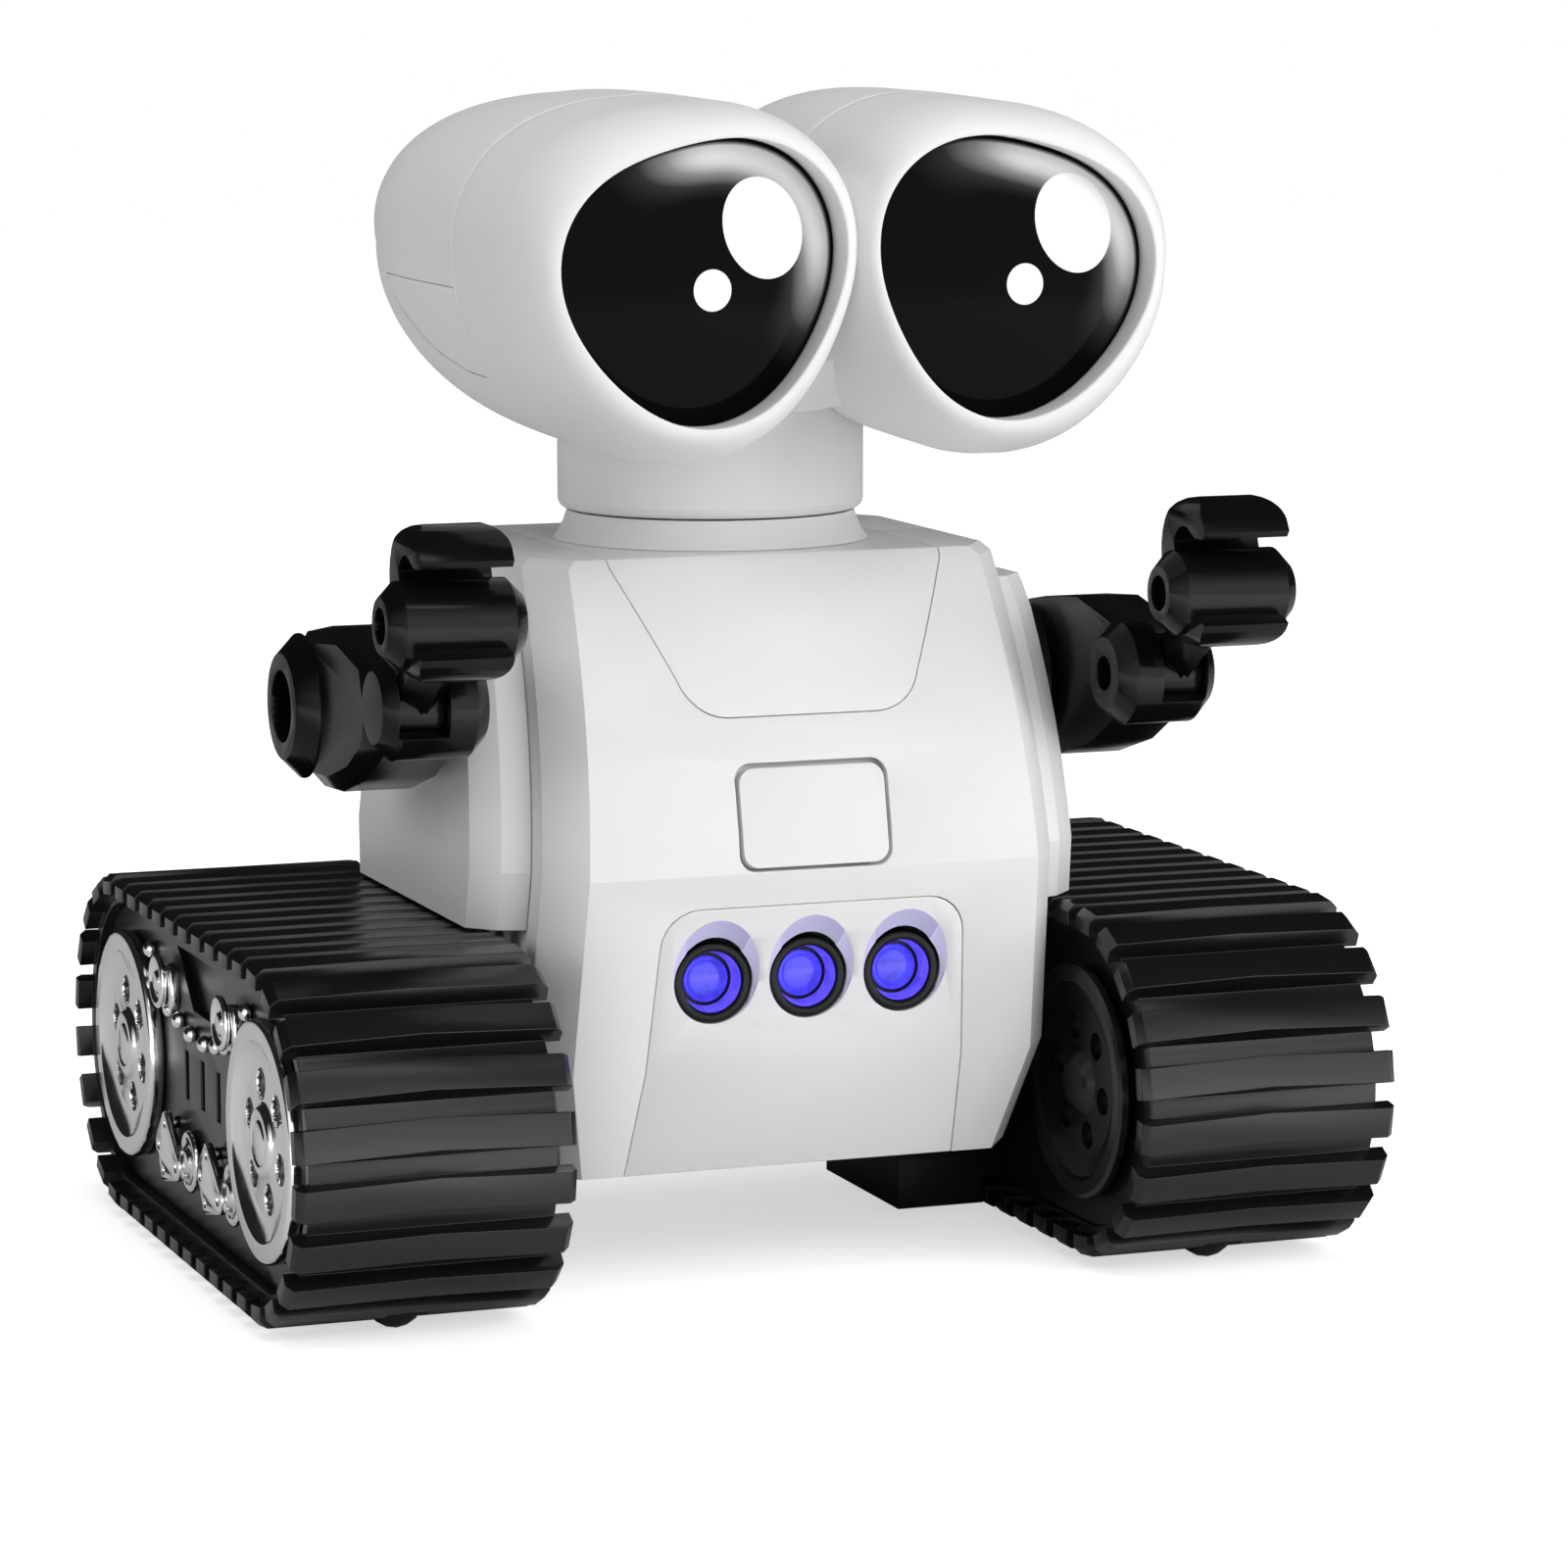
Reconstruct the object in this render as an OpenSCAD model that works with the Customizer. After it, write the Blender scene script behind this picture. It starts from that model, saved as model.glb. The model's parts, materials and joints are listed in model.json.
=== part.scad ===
// Toy robot car on two crawler-style pods.
// Two motor-driven wheels and two free rollers, hidden in the pods, carry a hollow torso
// with posable arms and a two-lobed head that turns on the neck.
// Frame: origin on the floor under the neck, +Z up, the robot faces -Y, its left side is +X.

/* [Crawler pods] */
// Distance between the middles of the two pods
pod_gauge = 151.5; // [151:0.5:154]
// Distance between the centres of a pod's round ends
wheel_base = 94; // [88:1:94]
// Height of a pod's centre line above the floor
pod_z = 33; // [33:0.5:34]
// Outer radius of the belt between the cleats
belt_r = 28.3; // [27.5:0.1:28.5]
// Thickness of the belt
belt_t = 2.4; // [2:0.1:3]
// Width of the belt
belt_w = 43; // [42:0.5:44]
// Length of a cleat across the belt
cleat_len = 48.5; // [46:0.5:48.5]
// How far a cleat stands out of the belt
cleat_h = 3; // [2:0.25:3]
// Width of a cleat along the belt
cleat_w = 5.6; // [4:0.2:6]
// Number of cleats around one pod
cleat_count = 40; // [36:4:40]
// Radius of the ornamental hub discs
disc_r = 20.9; // [18:0.1:21.5]

/* [Running gear] */
// Radius of a drive wheel over its tyre
wheel_r = 16; // [16:0.1:16.2]
// Distance of the drive axle behind the neck
wheel_y = 18; // [16:0.5:18]
// Width of a drive wheel
wheel_w = 11; // [9:0.5:12]
// Radius of a drive axle
axle_r = 1.5; // [1.25:0.05:1.6]
// Radius of a front roller
roller_r = 6.5; // [6:0.1:6.5]
// Distance of the rollers in front of the neck
roller_y = 50.5; // [49:0.5:51]
// Tooth module of the gears
gear_module = 0.6; // [0.6:0.01:0.61]
// Teeth of the gear on the axle
gear_teeth = 36; // [36:4:36]
// Teeth of the motor pinion
pinion_teeth = 12; // [12:4:12]

/* [Torso] */
// Height of the torso's lower edge
torso_z = 20.5; // [20:0.5:21]
// Height of the crease below the lamps
belly_z = 40; // [38:1:42]
// Height of the crease under the chest button
waist_z = 75; // [72:1:76]
// Height of the top edge of the face
brow_z = 126.3; // [124:0.1:127]
// Height of the flat top
top_z = 127.8; // [127.5:0.1:128.5]
// Depth of the face at the waist crease
waist_d = 54.3; // [52:0.1:55]
// Depth of the face at the belly crease
belly_d = 48.2; // [46:0.1:50]
// Depth of the face at the lower edge
foot_d = 40.4; // [39:0.1:42]
// Wall thickness of the shells
wall = 2; // [1.8:0.1:2.2]
// Height of the side panels' lower edge
panel_z = 64.8; // [64.8:0.1:66]
// Height of the side panels' top
panel_top = 121; // [118:0.5:122]

/* [Chest] */
// Width of the chest button
button_w = 27.4; // [24:0.2:28]
// Height of the chest button
button_h = 17.6; // [16:0.2:18]
// Height of the button's centre
button_z = 84.4; // [83:0.1:85]
// Travel of the button
button_travel = 1.2; // [0.8:0.1:1.4]
// Distance between neighbouring lamps
lamp_pitch = 17.5; // [17:0.1:18]
// Height of the lamps' centres
lamp_z = 55.6; // [54:0.1:57]

/* [Neck and head] */
// Radius of the collar's top
collar_r = 25.9; // [24:0.1:26.5]
// Height of the seam where the head turns
neck_z = 133.3; // [132.5:0.1:134]
// Radius of the neck
neck_r = 27.5; // [26.5:0.1:28]
// Radius of the pivot under the neck
pivot_r = 12; // [10:0.5:14]
// Sideways distance of an eye lobe's centre
lobe_x = 28; // [27.5:0.1:28.5]
// Height of an eye lobe's centre
lobe_z = 178; // [177:0.5:179]
// Distance of the eye rims in front of the neck
head_front = 75.8; // [74:0.1:76]
// Distance of the head's back behind the neck
head_back = 46; // [40:1:52]
// Distance of the head's seam in front of the neck
head_seam = 37; // [35:1:39]

/* [Arms] */
// Height of the shoulder axis
shoulder_z = 100.5; // [100:0.1:101]
// Radius of the shoulder drum
shoulder_r = 12.8; // [12:0.1:13]
// Outer end of the shoulder drum
shoulder_end = 80.2; // [79:0.1:81]
// Elbow axis: distance in front of the neck and height
elbow = [44.5, 105.5]; // [40:0.5:110]
// Radius of the elbow drum
elbow_r = 9.2; // [9:0.1:9.4]
// Wrist axis: distance in front of the neck and height
wrist = [67.5, 122.1]; // [60:0.1:125]
// Radius of the wrist drum
wrist_r = 7.35; // [7.3:0.05:7.6]
// Sideways distance of the middle of the elbow and wrist
arm_x = 69.9; // [69.5:0.1:70.2]
// Radius of the elbow and wrist pins
pin_r = 1.5; // [1.25:0.05:1.6]

/* [Hidden] */
$fn = 48;

white = [0.93, 0.93, 0.94];
black = [0.06, 0.06, 0.065];
chrome = [0.8, 0.81, 0.83];
steel = [0.6, 0.61, 0.63];
lamp_blue = [0.22, 0.16, 0.95];
board_green = [0.1, 0.35, 0.2];
rubber = [0.04, 0.04, 0.04];
nylon = [0.9, 0.9, 0.84];
brass = [0.75, 0.6, 0.3];
battery_blue = [0.15, 0.3, 0.6];

running = 0.05;     // radial clearance of a part that turns
gap = 0.15;         // gap around an inlaid part
eps = 0.01;         // overshoot of a cut
big = 400;          // larger than the robot

pod_x = pod_gauge / 2;
belt_x0 = pod_x - belt_w / 2;
belt_x1 = pod_x + belt_w / 2;
cleat_over = (cleat_len - belt_w) / 2;
inner_r = belt_r - belt_t;
plate_r = inner_r - gap;
outer_face = belt_x1 - 1.8;      // outer face of the recessed outer plate
plate_t = 3;
inner_face = belt_x0 + 0.4;      // inner face of the inner plate
disc_t = 3;                      // thickness of the hub discs

centre_dist = gear_module * (gear_teeth + pinion_teeth) / 2 + 0.12;
gear_x = 37;
gear_w = 3.2;
motor_z = wheel_r + centre_dist;
motor_x0 = 10;
motor_x1 = 34.2;
motor_r = 10;
motor_half = 7.5;                // half height between the motor's flats
flat_half = 7.3;                 // half width of the pockets under the flats
case_x0 = 34.4;                  // gear case: faces towards the middle and the pod
case_x1 = 42;
case_half = 13;                  // half length of the case's upper box
leg_front = -6;                  // the leg carries the pod below the torso
leg_back = 28;
leg_z0 = 2.4;
leg_z1 = 20.2;
base_top = torso_z + 3;          // top of the chassis base

// ---------------------------------------------------------------- helpers

// Keeps the children, or mirrors them to the robot's right side
module side(s) {
    if (s > 0) children();
    else mirror([1, 0, 0]) children();
}

// Stands the children's Z axis along +X, starting at x
module along_x(x) {
    translate([x, 0, 0]) rotate([0, 90, 0]) children();
}

// Extrudes a profile drawn in (Y, Z) from x0 to x1
module slab_x(x0, x1) {
    translate([x0, 0, 0]) rotate([90, 0, 90]) linear_extrude(x1 - x0) children();
}

// Extrudes a profile drawn in (X, Z) from y0 to y1
module slab_y(y0, y1) {
    translate([0, y1, 0]) rotate([90, 0, 0]) linear_extrude(y1 - y0) children();
}

// Drum along X with bevelled ends
module drum(r, x0, x1, bevel0, bevel1) {
    along_x(x0) {
        cylinder(h = bevel0, r1 = r - bevel0, r2 = r);
        translate([0, 0, bevel0]) cylinder(h = x1 - x0 - bevel0 - bevel1, r = r);
        translate([0, 0, x1 - x0 - bevel1]) cylinder(h = bevel1, r1 = r, r2 = r - bevel1);
    }
}

// Cylinder along X from x0 to x1
module rod_x(r, x0, x1) {
    along_x(x0) cylinder(h = x1 - x0, r = r);
}

// Closed skin over a stack of rings that have the same number of points
module loft(rings) {
    n = len(rings[0]);
    m = len(rings);
    polyhedron(
        points = [for (ring = rings) each ring],
        faces = concat(
            [[for (i = [0 : n - 1]) i]],
            [for (j = [0 : m - 2], i = [0 : n - 1], half = [0, 1])
                let (k = (i + 1) % n, low = j * n, high = low + n)
                half == 0 ? [low + i, high + i, high + k] : [low + i, high + k, low + k]],
            [[for (i = [n - 1 : -1 : 0]) (m - 1) * n + i]]));
}

// Points of an arc, from angle a0 to a1
function arc(c, r, a0, a1, steps = 6) =
    [for (i = [0 : steps]) let (a = a0 + (a1 - a0) * i / steps) c + r * [cos(a), sin(a)]];

// Profile with two straight sides and a round end, as a stadium
module stadium(r, length) {
    translate([-length / 2, 0]) circle(r, $fn = 96);
    translate([length / 2, 0]) circle(r, $fn = 96);
    square([length, 2 * r], center = true);
}

// Rounded rectangle, w by h, centred
module rounded(w, h, r) {
    square([w - 2 * r, h], center = true);
    square([w, h - 2 * r], center = true);
    for (sx = [-1, 1], sy = [-1, 1])
        translate([sx * (w / 2 - r), sy * (h / 2 - r)]) circle(r);
}

// ---------------------------------------------------------------- torso form

// Depth of the torso's face at height z: flat facets below the waist, a bow above it
function face_depth(z) =
    z <= waist_z
        ? lookup(z, [[torso_z, foot_d], [belly_z, belly_d], [waist_z, waist_d]])
        : waist_d - 0.108 * (z - waist_z) - 0.0056 * pow(z - waist_z, 2);

// Half width of the face at height z
function face_half(z) =
    lookup(z, [[torso_z, 38.5], [belly_z, 42.6], [waist_z, 41.4], [brow_z, 38.2]]);

// The corner of the torso is a fan of facets, each point set out from the face's edge
corner = [5.8, 8.5];
panel_step = [6.2, 14];
panel_bevel = [10.8, 15.8];
panel_edge = [15.1, 20.4];

function torso_ring(z, t) =
    let (fx = face_half(z) - 0.6 * t, fy = face_depth(z) - t,
         cx = face_half(z) + corner[0] - t, cy = face_depth(z) - corner[1] - 0.5 * t)
    [[fx, -fy, z], [cx, -cy, z], [cx, cy, z], [fx, fy, z],
     [-fx, fy, z], [-cx, cy, z], [-cx, -cy, z], [-fx, -fy, z]];

bow_levels = [82, 89, 96, 103, 110, 116, 121];
torso_levels = concat([torso_z, belly_z, waist_z], bow_levels, [brow_z]);

// The torso's outer form, set in by t all round, from its lower edge less drop
module torso_form(t = 0, drop = 0) {
    levels = torso_levels;
    rings = [for (z = levels) torso_ring(z, t)];
    bottom = [for (p = torso_ring(torso_z, t)) [p[0], p[1], torso_z - drop]];
    crown = [for (p = torso_ring(brow_z, t)) [p[0] * 0.96, p[1] * 0.96, top_z - t]];
    loft(concat(drop > 0 ? [bottom] : [], t > 0 ? [for (r = rings) [for (p = r) [p[0], p[1],
        min(p[2], brow_z - t)]]] : rings, [crown]));
}

module torso_shell() {
    difference() {
        torso_form();
        torso_form(wall, 1);
    }
}

// Outline of the chest plate, seen from the front
module chest_outline(grow = 0) {
    half = 31 + grow;
    r = 9;
    center = [13.6, 101.3 + r];
    polygon(concat(
        [[half, top_z + 1]], [[half - 0.3, brow_z]],
        arc(center, r + grow, -16, -90, 10),
        arc([-center[0], center[1]], r + grow, -90, -164, 10),
        [[-half + 0.3, brow_z], [-half, top_z + 1]]));
}

// Outline of the lamp panel, seen from the front
module lamp_outline(grow = 0) {
    top = 69 + grow;
    polygon(concat(
        [[30.8 + grow, torso_z - 1], [29.4 + grow, belly_z]],
        arc([21 + grow, top - 7], 7, 0, 90),
        arc([-21 - grow, top - 7], 7, 90, 180),
        [[-29.4 - grow, belly_z], [-30.8 - grow, torso_z - 1]]));
}

// Outline of the battery door, seen from behind
module door_outline(grow = 0) {
    translate([0, 57.5]) rounded(44 + 2 * grow, 26 + 2 * grow, 3);
}

// ---------------------------------------------------------------- torso parts

screw_spots = [[-33, 45], [33, 45], [-30, 106], [30, 106]];   // in (X, Z)

module shell_cuts() {
    translate([0, 0, top_z - 3]) cylinder(h = 6, r = 20);
    for (s = [-1, 1])
        side(s) translate([0, 0, shoulder_z]) rod_x(9, 30, 60);
}

module torso_front_shell() color(white) {
    difference() {
        intersection() {
            torso_shell();
            translate([-big / 2, -big, 0]) cube([big, big, big]);
        }
        slab_y(-big / 4, 34) chest_outline(gap);
        slab_y(-big / 4, -10) lamp_outline(gap);
        slab_y(-big / 4, -10) translate([0, button_z]) rounded(button_w + 0.8, button_h + 0.8, 3);
        shell_cuts();
    }
    // Screw posts that meet the rear shell's screws
    for (p = screw_spots)
        difference() {
            translate([p[0], -12, p[1]]) rotate([90, 0, 0])
                cylinder(h = post_front(p[1]) - 12, r = 3);
            translate([p[0], -11, p[1]]) rotate([90, 0, 0]) cylinder(h = 14, r = 1.2);
        }
}

// Depth at which a screw post meets the inside of the face
function post_front(z) = face_depth(z) - wall + 0.5;

module torso_rear_shell() color(white) {
    difference() {
        union() {
            intersection() {
                torso_shell();
                translate([-big / 2, gap, 0]) cube([big, big, big]);
            }
            for (p = screw_spots)
                translate([p[0], -11.9, p[1]]) rotate([-90, 0, 0])
                    cylinder(h = post_front(p[1]) + 11.9, r = 3.4);
        }
        slab_y(-20, 33 + gap) chest_outline(gap);
        slab_y(10, big / 4) door_outline(gap);
        shell_cuts();
        for (p = screw_spots)
            translate([p[0], 0, p[1]]) rotate([-90, 0, 0]) {
                translate([0, 0, -13]) cylinder(h = 80, r = 1.6);
                translate([0, 0, post_front(p[1]) - 5]) cylinder(h = 20, r = 2.9);
            }
        // Slot of the power switch and mouth of the charging socket
        translate([-18, 40, 33]) cube([10.4, 20, 5], center = true);
        translate([0, 40, 33]) cube([9.4, 20, 3.6], center = true);
    }
}

// Ring of a side panel on the +X side at height z, lifted off its edge by lift at the top
function panel_ring(z, back, lift = 0) =
    let (fx = face_half(z) - lift, fy = face_depth(z))
    [[back, -(fy - panel_step[1])], [fx + panel_step[0], -(fy - panel_step[1])],
     [fx + panel_bevel[0], -(fy - panel_bevel[1])], [fx + panel_edge[0], -(fy - panel_edge[1])],
     [fx + panel_edge[0], fy - panel_edge[1]], [fx + panel_bevel[0], fy - panel_bevel[1]],
     [fx + panel_step[0], fy - panel_step[1]], [back, fy - panel_step[1]]];

function lift_ring(ring, z) = [for (p = ring) [p[0], p[1], z]];

panel_levels = concat([panel_z, waist_z], [82, 89, 96, 103, 110, 115]);

module side_panel_form() {
    // The inner edge stays just outside the torso shell at every height
    function back(z) = face_half(z) + corner[0] + gap;
    loft(concat(
        [for (z = panel_levels) lift_ring(panel_ring(z, back(z)), z)],
        [lift_ring(panel_ring(panel_top - 2, back(panel_top), 0.5), panel_top - 1.6),
         lift_ring(panel_ring(panel_top - 1, back(panel_top), 1), panel_top)]));
}

module side_panel(s) color(white) side(s) {
    difference() {
        union() {
            difference() {
                side_panel_form();
                // Hollow behind the outer wall
                slab_x(40, 52.3) polygon([
                    [-30, panel_z + wall], [30, panel_z + wall], [30, 84], [20, 112],
                    [-20, 112], [-30, 84]]);
            }
            // Boss that bears the shoulder
            translate([0, 0, shoulder_z]) rod_x(14.3, 49, 57.6);
        }
        translate([0, 0, shoulder_z]) rod_x(5 + running, 40, 60);
    }
}

module chest_plate() color(white) {
    difference() {
        intersection() {
            torso_shell();
            slab_y(-big / 4, 33) chest_outline();
        }
        translate([0, 0, top_z - 3]) cylinder(h = 6, r = 20);
    }
}

module lamp_panel() color(white) {
    difference() {
        intersection() {
            torso_shell();
            slab_y(-big / 4, -10) lamp_outline();
        }
        for (i = [-1 : 1])
            translate([i * lamp_pitch, -30, lamp_z]) rotate([90, 0, 0])
                cylinder(h = 40, r = 7.1 + gap);
    }
}

board_y = 43.6;         // lamp board and the switch on it, in front of the neck
switch_y = 46.6;

// The three lamps point straight ahead
module at_lamps() {
    for (i = [-1 : 1])
        translate([i * lamp_pitch, -48.7, lamp_z]) rotate([90, 0, 0]) children();
}

module lamp_bezels() color(black) {
    at_lamps() difference() {
        translate([0, 0, -5]) cylinder(h = 6, r = 7.1);
        translate([0, 0, -6]) cylinder(h = 8, r = 5);
    }
}

module lamp_lenses() color(lamp_blue) {
    at_lamps() translate([0, 0, -3.3]) {
        cylinder(h = 2, r = 5 - gap);
        translate([0, 0, 2]) cylinder(h = 1, r1 = 5 - gap, r2 = 3.6);
    }
}

module lamp_board() color(board_green) {
    // Board with one light under each lens, and the chest button's switch
    translate([-29, -board_y, 44]) cube([58, 1.6, 46]);
    for (i = [-1 : 1])
        translate([i * lamp_pitch, -board_y, lamp_z]) rotate([90, 0, 0]) {
            cylinder(h = 1, r = 4);
            cylinder(h = 1.6, r = 2.5);
        }
    translate([-3, -switch_y, button_z - 3]) cube([6, switch_y - board_y + eps, 6]);
}

module chest_button() color(white) {
    front = face_depth(button_z);
    lean = 12;                   // the face leans back here
    flange_z = -3;
    flange_t = 1.2;
    translate([0, -front, button_z]) rotate([90 - lean, 0, 0]) {
        translate([0, 0, flange_z - eps])
            linear_extrude(-flange_z + eps) rounded(button_w, button_h, 2.8);
        // Flange that keeps the button in
        translate([0, 0, flange_z - flange_t])
            linear_extrude(flange_t) rounded(button_w + 3, button_h + 3, 3);
    }
    // Stem that presses the switch
    translate([0, -switch_y - button_travel - gap, button_z]) rotate([90, 0, 0])
        cylinder(h = front - 3.6 - switch_y - button_travel, r = 2);
}

module neck_collar() color(white) {
    rotate_extrude($fn = 96) polygon([
        [pivot_r + running, 121], [19.8, 121], [19.8, top_z + 0.1], [28.3, top_z + 0.1],
        [27.3, 129.2], [26.5, 130.9], [collar_r, 132.7], [collar_r, neck_z - gap],
        [pivot_r + running, neck_z - gap]]);
}

module battery_door() color(white) {
    intersection() {
        torso_shell();
        slab_y(10, big / 4) door_outline();
    }
}

module battery_pack() color(battery_blue) {
    cell_r = 7.1;
    for (i = [-1 : 1])
        translate([i * (2 * cell_r + 0.1), 33, 46]) {
            cylinder(h = 49, r = cell_r);
            translate([0, 0, 49]) cylinder(h = 1.2, r = 2.6);
        }
}

module control_board() color(board_green) {
    translate([-27, 8, 50]) cube([54, 1.6, 52]);
    for (p = [[-16, 62], [4, 58], [-6, 84], [16, 90]])
        translate([p[0] - 4, 5.6, p[1] - 4]) cube([8, 2.4 + eps, 8]);
    for (z = [66, 78])
        translate([18, 8, z]) rotate([90, 0, 0]) cylinder(h = 7, r = 3);
}

module speaker() color(black) {
    translate([0, -20, torso_z + 3.1]) {
        cylinder(h = 2.4, r = 14);
        translate([0, 0, 2.4]) cylinder(h = 2.6, r1 = 12, r2 = 7);
        translate([0, 0, 5]) cylinder(h = 3.2, r = 7);
    }
}

module power_switch() color(black) {
    // Knob that slides sideways in its slot in the rear shell
    translate([-20.4, 39, 33]) cube([4, 12, 4.2], center = true);
    translate([-20.4, 40.8, 33]) cube([7, 1.6, 7.4], center = true);
}

module charge_port() color(steel) {
    difference() {
        translate([0, 38.6, 33]) cube([9, 8.6, 3.2], center = true);
        translate([0, 40.6, 33]) cube([8, 8.6, 2.2], center = true);
    }
    translate([0, 39, 33]) cube([5, 6, 0.7], center = true);
}

module body_screws() color(steel) {
    for (p = screw_spots)
        translate([p[0], 0, p[1]]) rotate([-90, 0, 0]) {
            translate([0, 0, -22]) cylinder(h = post_front(p[1]) + 17, r = 1.2);
            difference() {
                translate([0, 0, post_front(p[1]) - 5]) cylinder(h = 2, r = 2.7);
                translate([0, 0, post_front(p[1]) - 3.9]) {
                    cube([3.4, 0.7, 2.4], center = true);
                    cube([0.7, 3.4, 2.4], center = true);
                }
            }
        }
}

module chassis_base() color(black) {
    difference() {
        intersection() {
            torso_form(wall + gap);
            translate([-big / 2, -big / 2, torso_z]) cube([big, big, base_top - torso_z]);
        }
        for (s = [-1, 1])
            side(s) translate([case_x0 - gap, leg_front - gap, 0])
                cube([30, wheel_y + case_half - leg_front + 2 * gap, 30]);
        // Flats under the motors
        for (s = [-1, 1])
            side(s) translate([motor_x0 - gap, wheel_y - flat_half, motor_z - motor_half - gap])
                cube([motor_x1 - motor_x0 + 2 * gap, 2 * flat_half, motor_half]);
        // Sound holes under the speaker
        for (a = [0 : 60 : 300])
            translate([7 * cos(a), -20 + 7 * sin(a), 0]) cylinder(h = 40, r = 1.6);
        translate([0, -20, 0]) cylinder(h = 40, r = 1.6);
    }
    // Cradles under the motors
    for (s = [-1, 1])
        side(s) difference() {
            translate([motor_x0 + 4, wheel_y - motor_r, base_top - 0.1])
                cube([12, 2 * motor_r, 6]);
            translate([0, wheel_y, motor_z]) rod_x(motor_r + 0.1, motor_x0, motor_x1);
        }
}

// ---------------------------------------------------------------- drive

function gear_outline(teeth, m) =
    let (pitch = m * teeth / 2, root = pitch - 1.25 * m, tip = pitch + 0.9 * m, step = 360 / teeth)
    [for (i = [0 : teeth - 1], k = [[-0.31, 0], [-0.12, 1], [0.12, 1], [0.31, 0]])
        let (a = step * (i + k[0]), r = k[1] == 1 ? tip : root) r * [cos(a), sin(a)]];

module toothed(teeth, w) {
    linear_extrude(w) polygon(gear_outline(teeth, gear_module));
}

// Box around the gears, on a leg that carries the pod and bears the axle
module gear_cases() color(black) {
    for (s = [-1, 1])
        side(s) difference() {
            union() {
                slab_x(case_x0, inner_face) polygon([
                    [leg_front, leg_z0], [leg_back - 4, leg_z0], [leg_back, leg_z0 + 4],
                    [leg_back, leg_z1], [leg_front + 5, leg_z1], [leg_front, leg_z1 - 9]]);
                slab_x(case_x0, case_x1) {
                    translate([wheel_y - case_half, leg_z0]) square([2 * case_half,
                        motor_z + 8 - leg_z0]);
                    // Shoulder that closes the opening in the chassis base
                    translate([leg_front, leg_z0 + 10]) square([wheel_y - leg_front,
                        base_top - leg_z0 - 10]);
                }
            }
            // Clears the crawler's lower run
            translate([belt_x0 - cleat_over - gap, leg_front - 1, 0])
                cube([10, leg_back - leg_front + 2, pod_z - inner_r + gap]);
            // Gear chamber
            translate([0, wheel_y, wheel_r]) rod_x(12, gear_x - 0.6, gear_x + gear_w + 0.8);
            translate([gear_x - 0.6, wheel_y - 5, wheel_r]) cube([gear_w + 1.4, 10, 20.5]);
            // Axle and motor shaft
            translate([0, wheel_y, wheel_r]) rod_x(axle_r + running, case_x0 - 1, inner_face + 1);
            translate([0, wheel_y, motor_z]) rod_x(2.2, case_x0 - 1, case_x0 + 3);
        }
}

module drive_motors() color(steel) {
    for (s = [-1, 1])
        side(s) translate([0, wheel_y, motor_z]) difference() {
            union() {
                intersection() {
                    rod_x(motor_r, motor_x0, motor_x1);
                    translate([0, -motor_r, -motor_half])
                        cube([50, 2 * motor_r, 2 * motor_half]);
                }
                rod_x(2, motor_x1 - eps, motor_x1 + 2);
            }
            rod_x(1 + running, motor_x0 + 4, motor_x1 + 4);
        }
}

module motor_pinion(s) color(brass) side(s) {
    translate([0, wheel_y, motor_z]) {
        rod_x(1, motor_x0 + 5, gear_x + gear_w + 0.4);
        along_x(gear_x) rotate([0, 0, 180 / pinion_teeth]) toothed(pinion_teeth, gear_w);
    }
}

module drive_gear(s) color(nylon) side(s) {
    translate([0, wheel_y, wheel_r]) along_x(gear_x) difference() {
        union() {
            toothed(gear_teeth, gear_w);
            translate([0, 0, -0.4]) cylinder(h = gear_w + 0.8, r = 4);
        }
        translate([0, 0, -1]) cylinder(h = gear_w + 2, r = axle_r);
        for (a = [45 : 90 : 315])
            rotate([0, 0, a]) translate([6.8, 0, -1]) cylinder(h = gear_w + 2, r = 1.5);
    }
}

module axle(s) color(steel) side(s)
    translate([0, wheel_y, wheel_r]) rod_x(axle_r, case_x0 + 0.3, pod_x + wheel_w / 2 + 1.5);

module drive_wheel(s) color(white) side(s) {
    translate([0, wheel_y, wheel_r]) along_x(pod_x - wheel_w / 2) difference() {
        union() {
            cylinder(h = wheel_w, r = wheel_r - 3);
            translate([0, 0, -1.5]) cylinder(h = wheel_w + 3, r = 4);
        }
        // Hollow on each side of the web, and the axle hole
        for (z = [-1, wheel_w / 2 + 1])
            translate([0, 0, z]) difference() {
                cylinder(h = wheel_w / 2, r = wheel_r - 5.5);
                translate([0, 0, -1]) cylinder(h = wheel_w / 2 + 2, r = 4);
            }
        translate([0, 0, -3]) cylinder(h = wheel_w + 6, r = axle_r);
        for (a = [0 : 60 : 300])
            rotate([0, 0, a]) translate([7.2, 0, 0]) cylinder(h = wheel_w, r = 1.6);
    }
}

module tyre(s) color(rubber) side(s) {
    translate([0, wheel_y, wheel_r]) along_x(pod_x) rotate_extrude($fn = 96) polygon([
        [wheel_r - 3, -wheel_w / 2], [wheel_r - 0.8, -wheel_w / 2], [wheel_r, -wheel_w / 2 + 1],
        [wheel_r, wheel_w / 2 - 1], [wheel_r - 0.8, wheel_w / 2], [wheel_r - 3, wheel_w / 2]]);
}

module front_roller(s) color(black) side(s) {
    crown = 1.2;
    half = 3.2;
    translate([0, -roller_y, roller_r]) along_x(pod_x) {
        rotate_extrude($fn = 64) polygon([
            [0, -half], [roller_r - crown, -half], [roller_r - 0.3, -half / 2], [roller_r, 0],
            [roller_r - 0.3, half / 2], [roller_r - crown, half], [0, half]]);
        translate([0, 0, -half - 2.6]) cylinder(h = 2 * half + 5.2, r = 1.5);
    }
}

// ---------------------------------------------------------------- crawler pods

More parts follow.
